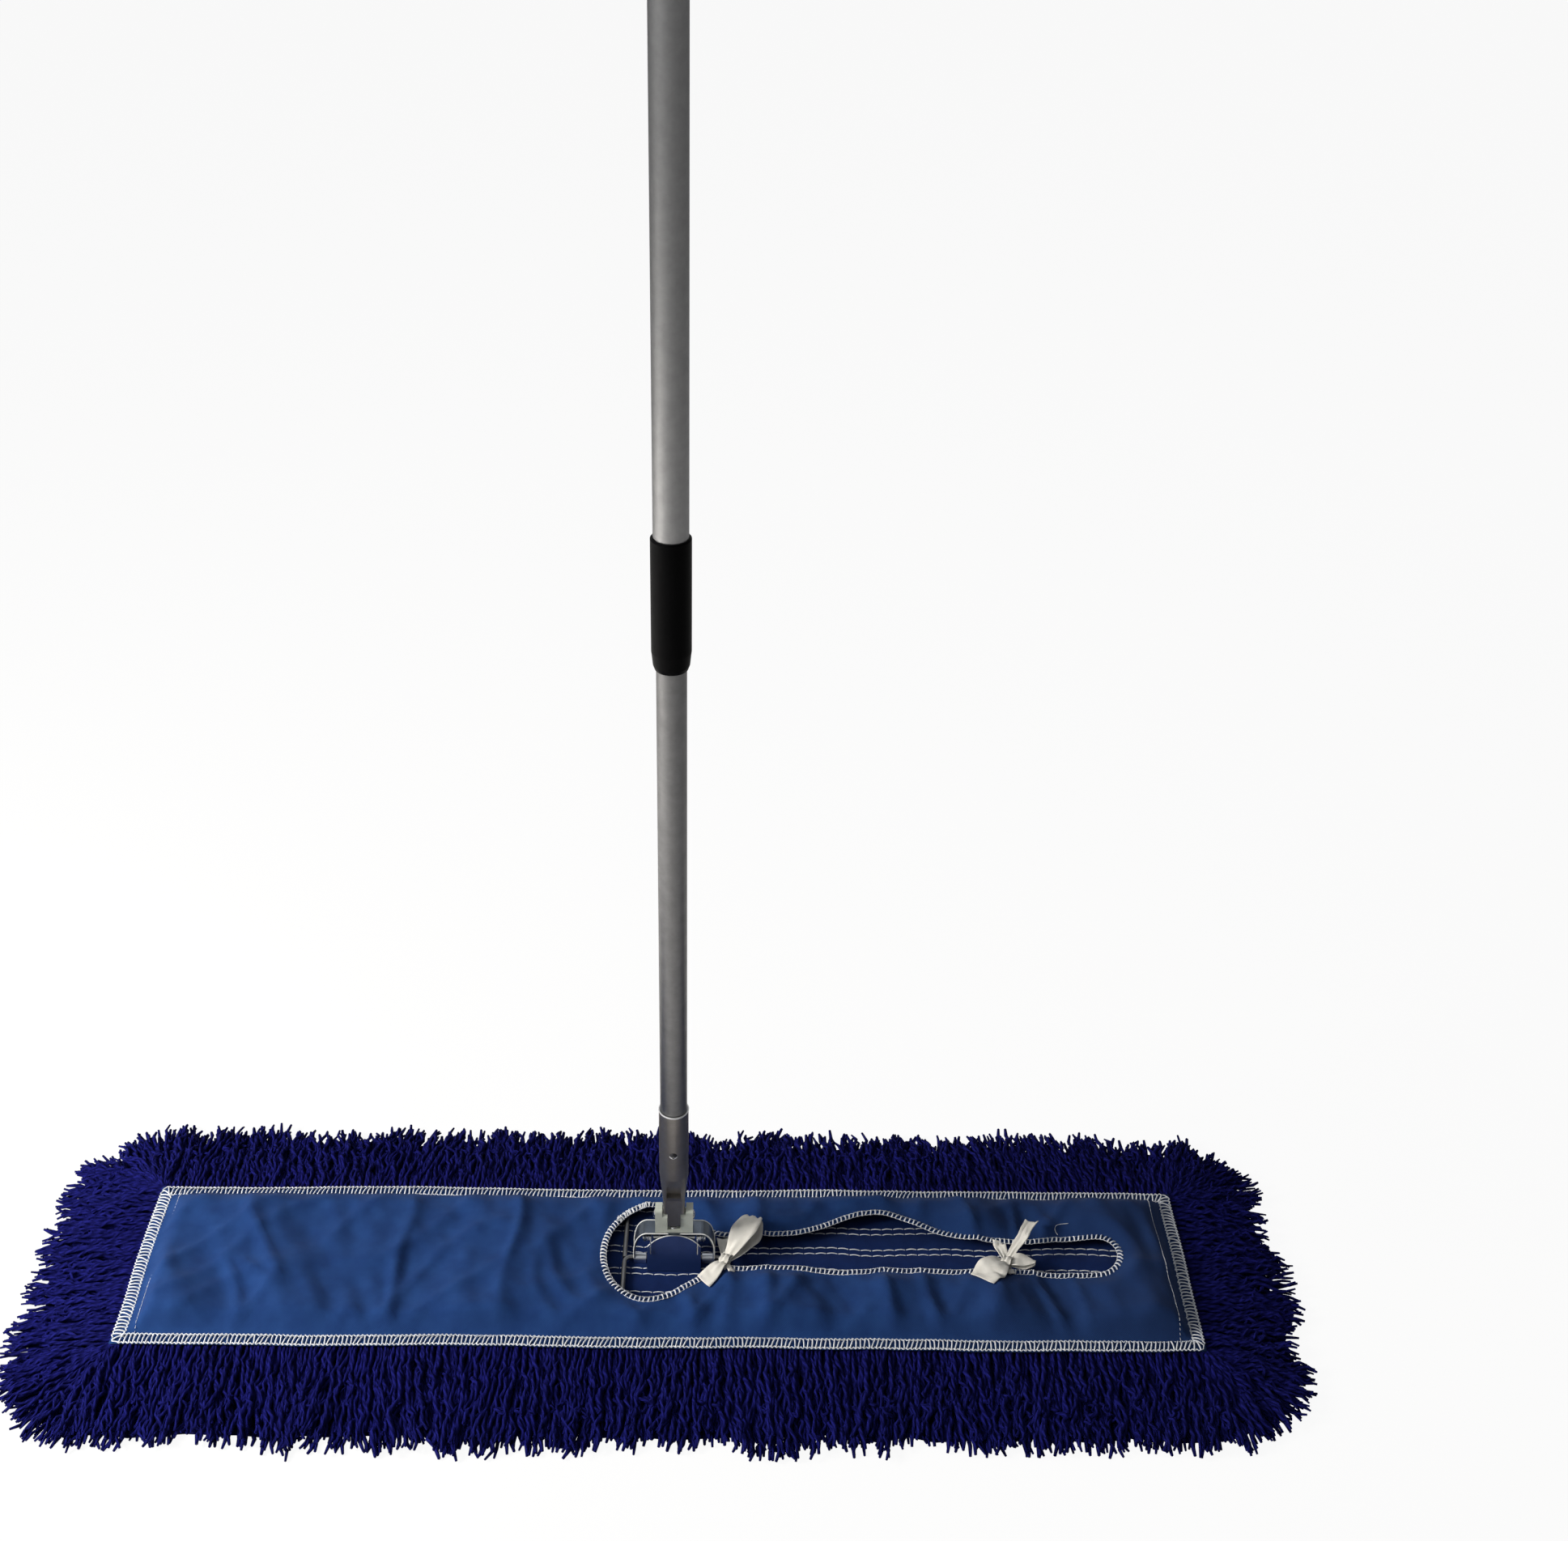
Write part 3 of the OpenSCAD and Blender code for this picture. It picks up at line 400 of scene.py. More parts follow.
finishes = {
    # CAD nodes: the finish's name, colour, roughness, streaks, rubs and the stretch of the streaks
    "wire_frame": makeMetal("zincWire", "#8c8c8c", 0.35, 0.2),
    # painted highlight: the hooks at the foot of the bracket are painted bright, for the light that they
    # catch
    "clip_bracket swivel_washer": makeMetal("zincSheet", "#68707a", 0.32, 0.25,
                                            heightHighlight=("#e6ebf2", hookLow + 0.016, hookLow + 0.011)),
    "clip_pin swivel_rivet tilt_pin": makeMetal("brightPin", "#c6c8c9", 0.2),
    # painted reflection: the flap's dark blue stands in for the navy cloth mirrored in its chrome
    "release_flap": makeMetal("flapPaintedReflection", "#1e3264", 0.3, 0.0, 0.1, metallic=0.45),
    "clip_spring_left clip_spring_right": makeMetal("springWire", "#dcdedf", 0.18),
    "swivel_yoke": makeMetal("paintedCasting", "#c3c9bf", 0.5, 0.3, 0.1, metallic=0.2),
    # painted highlight: a bright band round the rolled rim at the top of the socket
    "handle_socket": makeMetal("formedSteel", "#918d89", 0.3, 0.25, 0.12, (1, 1, 0.04), metallic=0.9,
                               heightHighlight=("#f4f4f4", rimHigh - 0.0021, rimHigh - 0.0013)),
    # painted highlight: the screw's faces turned downward are painted bright, the rest dark
    "socket_screw": makeMetal("screwSteel", "#26262a", 0.3, metallic=0.4, facingHighlight=("#f6f6f8", 0.15, -0.1)),
    "lower_tube": makeMetal("anodisedTube", "#868687", 0.42, 0.2, 0.06, (1, 1, 0.02)),
    "upper_tube": makeMetal("anodisedUpperTube", "#a9a9aa", 0.38, 0.2, 0.06, (1, 1, 0.02)),
    "joint_sleeve hand_grip end_cap lock_core lock_collar": makePlastic(),
}
for names, material in finishes.items():
    for node in names.split():
        nodes[node].data.materials.clear()
        nodes[node].data.materials.append(material)
print("stage: materials set,", len(finishes), "finishes")

# shared places, as in the part's source
head = {"length": 0.9, "width": 0.18, "hemTop": 0.0214, "roofTop": 0.02755, "baseTop": 0.0202,
        "fringe": 0.09}
halfX, halfY = head["length"] / 2, head["width"] / 2
clip = {"x": 0.007, "y": 0.007}
slotSize = {"roundX": 0.0385, "roundY": 0.0525, "roundAt": -0.02, "neck": 0.066, "near": 0.022,
            "drift": 0.005, "far": 0.0175, "bulge": 0.024, "bulgeAt": 0.172, "bulgeHalf": 0.082,
            "end": 0.382, "pull": 0.0055, "pullAt": 0.28, "pullRun": 0.04, "waver": 0.0021,
            "farFrom": -0.004, "farRun": 0.012, "waverFrom": -0.01, "waverIn": 0.05, "waverTo": 0.378,
            "waverOut": 0.03}


def slotBlend(x, half):
    t = (x - slotSize["roundAt"]) / slotSize["neck"]
    return half + (slotSize["roundY"] - half) * ((1 + math.cos(math.pi * t)) / 2 if t < 1 else 0)


def slotNear(x):
    return -slotBlend(x, slotSize["near"] - slotSize["drift"] * (1 - x / slotSize["end"]))


def slotFar(x):
    d = abs(x - slotSize["bulgeAt"]) / slotSize["bulgeHalf"]
    bulge = slotSize["bulge"] * (1 + math.cos(math.pi * d)) / 2 if d < 1 else 0
    return slotBlend(x, slotSize["far"]) + bulge


def slotOutline(grow=0.0, step=0.004):
    near, far, start = slotSize["near"], slotSize["far"], slotSize["roundAt"]
    endR, endX = (near + far) / 2, slotSize["end"] - (near + far) / 2
    count = int((endX - start) / step)
    runs = [start + (endX - start) * i / count for i in range(1, count)]
    line = []
    for i in range(41):
        a = math.radians(90 + 180 * i / 40)
        line.append((start + slotSize["roundX"] * math.cos(a), slotSize["roundY"] * math.sin(a)))
    line += [(x, slotNear(x)) for x in runs]
    for i in range(17):
        a = math.radians(-90 + 180 * i / 16)
        line.append((endX + endR * math.cos(a), (far - near) / 2 + endR * math.sin(a)))
    line += [(x, slotFar(x)) for x in reversed(runs)]
    # the sewn edge wavers between its round ends, and the outer tie draws it in
    drawn, size = [], slotSize
    for x, y in line:
        farSide = smooth((y - size["farFrom"]) / size["farRun"])
        pull = -size["pull"] * math.exp(-((x - size["pullAt"]) / size["pullRun"]) ** 2) * farSide
        waver = size["waver"] * ripple(x * 19, 0.3 + 4 * farSide, 2.0)
        waver *= smooth((x - size["waverFrom"]) / size["waverIn"])
        y = y + pull + waver * smooth((size["waverTo"] - x) / size["waverOut"])
        drawn.append(Vector((clip["x"] + x, clip["y"] + y)))
    if not grow:
        return drawn
    turns = [(drawn[(i + 1) % len(drawn)] - drawn[i - 1]).normalized() for i in range(len(drawn))]
    return [p + Vector((t.y, -t.x)) * grow for p, t in zip(drawn, turns)]


slotLine = slotOutline()
slotTree = kdtree.KDTree(len(slotLine))
for i, p in enumerate(slotLine):
    slotTree.insert((p.x, p.y, 0), i)
slotTree.balance()


def inSlot(x, y):
    inside = False
    for i, a in enumerate(slotLine):
        b = slotLine[i - 1]
        if (a.y > y) != (b.y > y) and x < (b.x - a.x) * (y - a.y) / (b.y - a.y) + a.x:
            inside = not inside
    return inside


# canvas: one sheet over the frame, sewn down all round, cut open along the slot
canvasLook = {"grid": 0.0045, "thickness": 0.0011, "fold": 0.0078, "crease": 0.0042, "crumple": 0.0014,
              "waver": 0.0034, "hem": 0.0105, "riseNear": 0.0185, "riseFar": 0.0065, "riseLeft": 0.021,
              "riseRight": 0.009, "calmFrom": 0.008, "calmRun": 0.022, "edgeCalm": 0.02, "loose": 0.4,
              "lip": 0.0028, "lipRun": 0.011, "slack": 1.6, "slackAt": 0.165, "slackRun": 0.05}


def hemWaver(x, y):
    # the sewn border isn't quite straight
    wave = ripple(x * 6.5, 3.3 if y > 0 else 8.1, 0.5)
    wave += 0.3 * ripple(x * 28, y, 1.5)
    side = 0.6 * ripple(y * 14, 1.7 if x > 0 else 6.4, 2.5)
    return side * canvasLook["waver"] * (x / halfX) ** 3, wave * canvasLook["waver"] * (y / halfY) ** 3


def canvasFold(x, y):
    # soft folds that run across the head, with sharper creases on their backs
    skew = x + 0.22 * y + 0.03 * ripple(x * 6, y * 9, 1.0)
    fold = smooth(0.5 + 0.8 * ripple(skew * 17, y * 3.5, 4.2))
    crease = 1 - abs(ripple(skew * 27, y * 6, 9.4)) * 2.2
    slant = 1 - abs(ripple((x - 0.9 * y) * 16, (x + y) * 5, 7.7)) * 2.6
    crumple = ripple(x * 75 + y * 24, y * 38, 2.2)
    sharp = max(0, crease) ** 2 + 0.7 * max(0, slant) ** 2
    return canvasLook["fold"] * fold + canvasLook["crease"] * sharp + canvasLook["crumple"] * crumple


def canvasRise(x, y):
    # flat under the hem's seam, then up to the wires, which lie further in on the near and left sides
    sides = ((halfY + y, "riseNear"), (halfY - y, "riseFar"), (halfX + x, "riseLeft"),
             (halfX - x, "riseRight"))
    return min(smooth((inward - canvasLook["hem"]) / canvasLook[run]) for inward, run in sides)


def canvasHeight(x, y):
    look = canvasLook
    inward = min(halfX - abs(x), halfY - abs(y))
    rise = canvasRise(x, y)
    height = head["hemTop"] + (head["roofTop"] - head["hemTop"]) * rise
    edge = slotTree.find((x, y, 0))[2]
    calm = smooth((inward - look["calmFrom"]) / look["calmRun"])
    calm *= 0.3 + 0.7 * smooth(edge / look["edgeCalm"])
    calm *= 1 + look["loose"] * smooth((x + 0.05) / 0.3)  # looser round the slot
    height += calm * canvasFold(x, y)
    lift = 0.45 + 0.9 * ripple(x * 21, y * 21, 6.6)
    if y > clip["y"]:  # the slack far edge stands up
        lift += look["slack"] * math.exp(-((x - clip["x"] - look["slackAt"]) / look["slackRun"]) ** 2)
    return height + look["lip"] * max(0, lift) * math.exp(-edge / look["lipRun"]) * rise


def makeCanvas():
    length, width, grid = head["length"], head["width"], canvasLook["grid"]
    points, edges = [], []
    countX, countY = int(length / grid), int(width / grid)
    for ringLine in (border(halfX, halfY, countX, countY), slotLine):
        first = len(points)
        points += [Vector(p) for p in ringLine]
        edges += [(first + i, first + (i + 1) % len(ringLine)) for i in range(len(ringLine))]
    rowHeight = grid * math.sqrt(3) / 2
    for row in range(1, int(width / rowHeight)):
        y = -halfY + row * rowHeight
        for column in range(1, countX):
            x = -halfX + (column + 0.5 * (row % 2)) * grid
            clear = x < halfX - grid * 0.4 and slotTree.find((x, y, 0))[2] > grid * 0.45
            if clear and not inSlot(x, y):
                points.append(Vector((x, y)))
    flat, _, triangles, *_ = geometry.delaunay_2d_cdt(points, edges, [], 0, 1e-6)
    faces = []
    for t in triangles:
        middle = sum((flat[i] for i in t), Vector((0, 0))) / 3
        if not inSlot(middle.x, middle.y):
            faces.append(tuple(t))
    area = sum(abs((flat[b] - flat[a]).cross(flat[c] - flat[a])) / 2 for a, b, c in faces)
    verts = []
    for p in flat:
        dx, dy = hemWaver(p.x, p.y)
        verts.append((p.x + dx, p.y + dy, canvasHeight(p.x, p.y)))
    piece = newMesh("canvasBacking", verts, faces, canvasCloth, [tuple(p) for p in flat])
    thicken(piece, canvasLook["thickness"])
    return settle(piece, node="canvas_backing"), area


canvas, canvasArea = makeCanvas()
print("stage: canvas made,", len(canvas.data.polygons), "faces")

# base cloth: floor of the pocket, quilted by the rows that hold the yarn
baseLook = {"rows": [-0.0815, -0.057, -0.032, -0.0065, 0.0185, 0.0425, 0.067], "pair": 0.0064,
            "puff": 0.0015, "puffRun": 0.008, "clipClear": 0.03, "thickness": 0.0009, "cells": (150, 45),
            "cut": (0.996, 0.985), "sunk": 0.0003, "sway": 0.0046, "shiver": 0.0014}


def rowWaver(x, row):
    slow, quick = ripple(x * 13, row * 6, 5.0), ripple(x * 42, row * 40, 1.0)
    return baseLook["sway"] * slow + baseLook["shiver"] * quick


def baseHeight(x, y):
    nearest = min(abs(y - row - rowWaver(x, row)) for row in baseLook["rows"])
    away = math.hypot(x - clip["x"], y - clip["y"])
    puff = smooth((nearest - baseLook["pair"] / 2) / baseLook["puffRun"])
    puff = puff * (0.6 + 0.6 * ripple(x * 40, y * 30, 1.1))
    calm = smooth((away - baseLook["clipClear"]) / baseLook["clipClear"])  # flat under the clip
    return head["baseTop"] - baseLook["sunk"] + baseLook["puff"] * max(0.0, puff) * calm


def makeBase():
    (wide, high), (cutX, cutY) = baseLook["cells"], baseLook["cut"]
    flat = [(head["length"] * (i / wide - 0.5) * cutX, head["width"] * (j / high - 0.5) * cutY)
            for j in range(high + 1) for i in range(wide + 1)]
    verts = [(x, y, baseHeight(x, y)) for x, y in flat]
    piece = newMesh("baseCloth", verts, gridFaces(wide, high), baseCloth, flat)
    thicken(piece, baseLook["thickness"])
    return settle(piece, node="base_cloth")


base = makeBase()
print("stage: base cloth made")


# yarn
yarnLook = {
    "spacing": 0.0033, "layers": 6, "rootIn": 0.008,
    "rootTop": 0.0178, "rootDeep": 0.0125, "rootSpread": 0.0008, "tipTop": 0.0075, "tipDeep": 0.0055,
    "tipSpread": 0.0012,
    # sockets of the node group
    "Points": 14, "Thickness": 0.0036, "Ragged": 0.2, "Lean": 0.013, "Wave": 0.02, "Loops": 0.3,
    "Droop": 1.7,
}


def makeStrandTree():
    tree, add, given = newTree("yarnStrands", Geometry="Anchors", Int="Points, Seed", Material="Material",
                               Float="Thickness, Ragged, Lean, Wave, Loops, Droop")
    spots = add("MeshToPoints", {"Mesh": given["Anchors"]})
    tone = add("RandomValue", {"Seed": given["Seed"]}, out=1)
    spots = add("StoreNamedAttribute", {"Geometry": spots, "Name": "tone", "Value": tone})
    here = add("InputPosition")
    spots = add("StoreNamedAttribute", {"Geometry": spots, "Name": "tipAt", "Value": here},
                data_type="FLOAT_VECTOR")
    line = add("CurvePrimitiveLine", {"End": (1, 0, 0)})
    line = add("ResampleCurve", {"Curve": line, "Count": given["Points"]})
    strands = add("InstanceOnPoints", {"Points": spots, "Instance": line})
    strands = add("RealizeInstances", [strands])
    along = add("SplineParameter")
    root = add("InputNamedAttribute", ["rootAt"], data_type="FLOAT_VECTOR")
    tip = add("InputNamedAttribute", ["tipAt"], data_type="FLOAT_VECTOR")
    toneAt = add("InputNamedAttribute", ["tone"])
    span = add("VectorMath", [tip, root], "SUBTRACT")
    across = add("VectorMath", [span, (0, 0, 1)], "CROSS_PRODUCT")
    across = add("VectorMath", [across], "NORMALIZE")
    dice = add("TexWhiteNoise", {"W": add("Math", [toneAt, 977.0], "MULTIPLY")}, out=1,
               noise_dimensions="1D")
    dice = add("SeparateXYZ", [dice], out=None).outputs  # three numbers of its own for each strand

    # how far a strand reaches: its own cut and that of its clump
    clump = add("TexNoise", {"Vector": tip, "Scale": 34.0, "Detail": 1.0})  # about 3 cm
    clumpCut = add("MapRange", [clump, 0.3, 0.7, -0.07, 0.1])
    ownCut = add("Math", [dice[0], given["Ragged"]], "MULTIPLY")
    reach = add("Math", [1.0, ownCut], "SUBTRACT")
    reach = add("Math", [reach, clumpCut], "ADD")

    # looped strands turn back near the tip
    looped = add("Math", [dice[2], given["Loops"]], "LESS_THAN")
    fold = add("MapRange", [along, 0.72, 1.0])
    fold = add("Math", [fold, looped], "MULTIPLY")
    steps = add("Math", [fold, -0.36, along], "MULTIPLY_ADD")
    steps = add("Math", [steps, reach], "MULTIPLY")

    # sideways: clumps lean together, each strand a little by itself, and it waves
    leanNoise = add("TexNoise", {"Vector": tip, "Scale": 19.0, "Detail": 2.0})  # about 5 cm
    lean = add("MapRange", [leanNoise, 0.3, 0.7, -1.0, 1.0])
    own = add("MapRange", [dice[1], 0.0, 1.0, -0.55, 0.55])
    lean = add("Math", [lean, own], "ADD")
    lean = add("Math", [lean, given["Lean"]], "MULTIPLY")
    bend = add("Math", [along, 1.5], "POWER")
    wavePlace = add("CombineXYZ", [add("Math", [toneAt, 311.0], "MULTIPLY"),
                                   add("Math", [along, 5.0], "MULTIPLY"), dice[0]])
    wave = add("TexNoise", {"Vector": wavePlace, "Scale": 1.0, "Detail": 1.0}, out=1)
    wave = add("SeparateXYZ", [wave], out=None).outputs
    swing = add("MapRange", [along, 0.0, 0.35, 0.0, 1.0])
    swing = add("Math", [swing, given["Wave"]], "MULTIPLY")
    centred = [add("Math", [part, 0.5], "SUBTRACT") for part in wave[:2]]
    waveSide, waveUp = [add("Math", [part, swing], "MULTIPLY") for part in centred]
    sideways = add("Math", [lean, bend, waveSide], "MULTIPLY_ADD")
    sideways = add("Math", [fold, 0.006, sideways], "MULTIPLY_ADD")

    # out from the root, drooping to the floor
    spanParts = add("SeparateXYZ", [span], out=None).outputs
    level = add("CombineXYZ", [spanParts[0], spanParts[1], 0.0])
    place = add("VectorMath", [level, steps, root], "MULTIPLY_ADD")
    place = add("VectorMath", [across, sideways, place], "MULTIPLY_ADD")
    safe = add("Math", [steps, 0.0], "MAXIMUM")
    drop = add("Math", [safe, given["Droop"]], "POWER")
    drop = add("Math", [drop, spanParts[2], waveUp], "MULTIPLY_ADD")
    placeParts = add("SeparateXYZ", [place], out=None).outputs
    tall = add("Math", [placeParts[2], drop], "ADD")
    halfThick = add("Math", [given["Thickness"], 0.5], "MULTIPLY")
    tall = add("Math", [tall, halfThick], "MAXIMUM")
    place = add("CombineXYZ", [placeParts[0], placeParts[1], tall])
    strands = add("SetPosition", {"Geometry": strands, "Position": place})

    girth = add("MapRange", [dice[1], 0.0, 1.0, 0.82, 1.18])
    taper = add("MapRange", [along, 0.9, 1.0, 1.0, 0.6])
    girth = add("Math", [girth, taper], "MULTIPLY")
    girth = add("Math", [girth, halfThick], "MULTIPLY")
    spanLength = add("VectorMath", [span], out=1, operation="LENGTH")
    run = add("Math", [along, spanLength], "MULTIPLY")
    strands = add("StoreNamedAttribute", {"Geometry": strands, "Name": "along", "Value": run})
    profile = add("CurvePrimitiveCircle", {"Resolution": 4})
    ringAt = add("InputPosition")
    profile = add("StoreNamedAttribute", {"Geometry": profile, "Name": "ring", "Value": ringAt},
                  data_type="FLOAT_VECTOR")
    tubes = add("CurveToMesh", {"Curve": strands, "Profile Curve": profile, "Scale": girth,
                                "Fill Caps": True})
    return closeTree(tree, tubes, given["Material"])


strandTree = makeStrandTree()


def sewStrands(name, anchors, seed, node, **changes):
    # anchors: (tip, root) pairs, one strand each
    mesh = bpy.data.meshes.new(name)
    mesh.from_pydata([tip for tip, _ in anchors], [], [])
    held = mesh.attributes.new("rootAt", "FLOAT_VECTOR", "POINT")
    held.data.foreach_set("vector", [c for _, root in anchors for c in root])
    piece = newPiece(name, mesh)
    wear(piece, strandTree, {**yarnLook, "Seed": seed, "Material": yarn, **changes})
    bake(piece)
    for extra in ("tipAt", "rootAt"):
        if extra in piece.data.attributes:
            piece.data.attributes.remove(piece.data.attributes[extra])
    print("stage:", name, "has", len(piece.data.polygons), "faces")
    return settle(piece, node=node)


def fringeAnchors(path, seed):
    # path: points on the line that the tips reach; the roots lie just inside the canvas border
    dice = random.Random(seed)
    look, anchors = yarnLook, []
    lengths = [0.0]
    for a, b in zip(path, path[1:]):
        lengths.append(lengths[-1] + (b - a).length)
    total = lengths[-1]
    count = int(total / look["spacing"])
    for layer in range(look["layers"]):
        depth = layer / (look["layers"] - 1)
        for i in range(count):
            at = (i + 0.5 + dice.uniform(-0.45, 0.45)) * total / count
            k = max(j for j, l in enumerate(lengths) if l <= at)
            k = min(k, len(path) - 2)
            tip = path[k].lerp(path[k + 1], (at - lengths[k]) / (lengths[k + 1] - lengths[k]))
            edge = Vector((min(halfX, max(-halfX, tip.x)), min(halfY, max(-halfY, tip.y))))
            root = edge - (tip - edge).normalized() * look["rootIn"]
            rootZ, tipZ = [look[end + "Top"] - look[end + "Deep"] * depth
                           + dice.uniform(-look[end + "Spread"], look[end + "Spread"])
                           for end in ("root", "tip")]
            anchors.append(((tip.x, tip.y, tipZ), (root.x, root.y, rootZ)))
    return anchors


def makeFringes():
    reach = head["fringe"]
    side = [Vector((-halfX, halfY + reach)), Vector((halfX, halfY + reach))]
    end = [Vector((halfX + reach * math.sin(a), halfY + reach * math.cos(a)))
           for a in [math.radians(90 * i / 12) for i in range(13)]]
    end += [Vector((p.x, -p.y)) for p in reversed(end)]
    shapes = {
        "fringeNear": ([Vector((p.x, -p.y)) for p in side], "fringe_near", 11),
        "fringeFar": (side, "fringe_far", 12),
        "fringeRight": (end, "fringe_right", 13),
        "fringeLeft": ([Vector((-p.x, p.y)) for p in end], "fringe_left", 14),
    }
    for name, (path, node, seed) in shapes.items():
        sewStrands(name, fringeAnchors(path, seed), seed, node)


makeFringes()

pileLook = {
    "rows": [-0.068, -0.03, 0.008, 0.046, 0.084], "spacing": 0.0045, "reach": 0.052, "shortest": 0.02,
    "endIn": 0.01, "rowLimit": 0.086, "tipLimit": 0.096, "tipLow": 0.0026, "tipSpread": 0.002,
    "rootHigh": 0.0125,
    "Points": 8, "Droop": 0.75, "Lean": 0.008, "Ragged": 0.15,  # sockets of the node group
}
# the core is lofted through rings round the head: (distance past a line just inside the border, height)
coreLook = {
    "inset": 0.01, "ragged": 0.007, "raggedFrom": 0.06,
    "rings": [(0.0, 0.0062), (0.012, 0.0030), (0.040, 0.0018), (0.070, 0.0010), (0.084, 0.0006),
              (0.084, 0.0010), (0.070, 0.0022), (0.040, 0.0034), (0.012, 0.0052), (0.006, 0.0187),
              (0.0, 0.0187)],
}


def makePile():
    # the yarn under the base cloth: rows of strands that lie over each other towards the sides
    dice = random.Random(21)
    look, anchors = pileLook, []
    for row in look["rows"]:
        for side in (-1, 1):
            for i in range(int((head["length"] - 2 * look["endIn"]) / look["spacing"])):
                x = -halfX + look["endIn"] + (i + dice.random()) * look["spacing"]
                y = max(-look["rowLimit"], min(look["rowLimit"], row))
                tipY = max(-look["tipLimit"], min(look["tipLimit"], y + side * look["reach"]))
                if abs(tipY - y) > look["shortest"]:
                    tip = (x, tipY, look["tipLow"] + dice.random() * look["tipSpread"])
                    anchors.append((tip, (x, y, look["rootHigh"])))
    sewStrands("yarnPile", anchors, 22, "yarn_pile", **look)


def makeCore():
    # dark yarn that fills what the strands leave open
    rings = coreLook["rings"]
    corners = [Vector(p) for p in border(halfX - coreLook["inset"], halfY - coreLook["inset"], 1, 1)]
    rim = []
    for k in range(4):
        start, stop, facing = corners[k], corners[(k + 1) % 4], 90 * k - 90
        rim += [(start.lerp(stop, i / 40), math.radians(facing)) for i in range(41)]
        rim += [(stop, math.radians(facing + 9 * i)) for i in range(1, 10)]
    verts, faces = [], []
    for away, height in rings:
        for spot, a in rim:
            reach = away
            if away > coreLook["raggedFrom"]:
                reach += coreLook["ragged"] * ripple(spot.x * 40, spot.y * 40, a)
            verts.append((spot.x + math.cos(a) * reach, spot.y + math.sin(a) * reach, height))
    count = len(rim)
    for k in range(len(rings) - 1):
        for i in range(count):
            j = (i + 1) % count
            faces.append((k * count + i, k * count + j, (k + 1) * count + j, (k + 1) * count + i))
    faces.append(tuple(reversed(range(count))))
    faces.append(tuple(range((len(rings) - 1) * count, len(rings) * count)))
    settle(newMesh("yarnCore", verts, faces, yarn))


makePile()
makeCore()
print("stage: yarn core made")


# sewing thread
def layStitches(add, given, start, finish, profile, wobble=0.0):
    # one arched bar of thread at each pitch of the path, from start to finish beside it
    spots = add("CurveToPoints", {"Curve": given["Path"], "Length": given["Pitch"]}, out=None, mode="LENGTH")
    turn = add("AlignRotationToVector", {"Vector": spots.outputs["Tangent"]}, axis="X", pivot_axis="Z")
    if wobble:
        angle = add("RandomValue", {2: -wobble, 3: wobble, "Seed": given["Seed"]}, out=1)
        twist = add("AxisAngleToRotation", {"Axis": (0, 0, 1), "Angle": angle})
        turn = add("RotateRotation", {"Rotation": turn, "Rotate By": twist}, rotation_space="LOCAL")
    bar = add("CurvePrimitiveLine", {"Start": start, "End": finish})
    bar = add("ResampleCurve", {"Curve": bar, "Count": 5})
    arch = add("Math", [add("SplineParameter"), math.pi], "MULTIPLY")
    arch = add("Math", [arch], "SINE")
    rise = add("Math", [arch, given["Thread"]], "MULTIPLY")
    bar = add("SetPosition", {"Geometry": bar, "Offset": add("CombineXYZ", {2: rise})})
    bars = add("InstanceOnPoints", {"Points": spots.outputs[0], "Instance": bar, "Rotation": turn})
    bars = add("RealizeInstances", [bars])
    radius = add("Math", [given["Thread"], 0.5], "MULTIPLY")
    return add("CurveToMesh", {"Curve": bars, "Profile Curve": profile, "Scale": radius, "Fill Caps": True})


def makeSeamTree():
    # an overlock seam: cross stitches over a path, a chain along each side of it
    tree, add, given = newTree("overlockSeam", Geometry="Path", Int="Seed", Material="Material",
                               Float="Pitch, Width, Thread, Chain, Slant, Chain Wave")
    profile = add("CurvePrimitiveCircle", {"Resolution": 5})
    halfWidth, halfChain = [add("Math", [given[k], 0.5], "MULTIPLY") for k in ("Width", "Chain")]
    finish = add("CombineXYZ", [given["Slant"], halfWidth, 0.0])
    start = add("VectorMath", {0: finish, "Scale": -1.0}, "SCALE")
    joined = [layStitches(add, given, start, finish, profile, 0.26)]
    step = add("Math", [given["Pitch"], 0.25], "MULTIPLY")
    for side in (-1.0, 1.0):
        chain = add("ResampleCurve", {"Curve": given["Path"], "Length": step}, mode="LENGTH")
        outward = add("VectorMath", [(0, 0, 1), add("InputTangent")], "CROSS_PRODUCT")
        phase = add("Math", [add("SplineParameter", out=1), given["Pitch"]], "DIVIDE")
        phase = add("Math", [phase, 2 * math.pi], "MULTIPLY")
        zigzag = add("Math", [phase], "SINE")
        zigzag = add("Math", [zigzag, given["Chain Wave"]], "MULTIPLY")
        offset = add("Math", [halfWidth, side, zigzag], "MULTIPLY_ADD")
        shift = add("VectorMath", {0: outward, "Scale": offset}, "SCALE")
        chain = add("SetPosition", {"Geometry": chain, "Offset": shift})
        joined.append(add("CurveToMesh", {"Curve": chain, "Profile Curve": profile, "Scale": halfChain}))
    together = add("JoinGeometry", out=None)
    for part in reversed(joined):
        tree.links.new(part, together.inputs[0])
    return closeTree(tree, together.outputs[0], given["Material"])


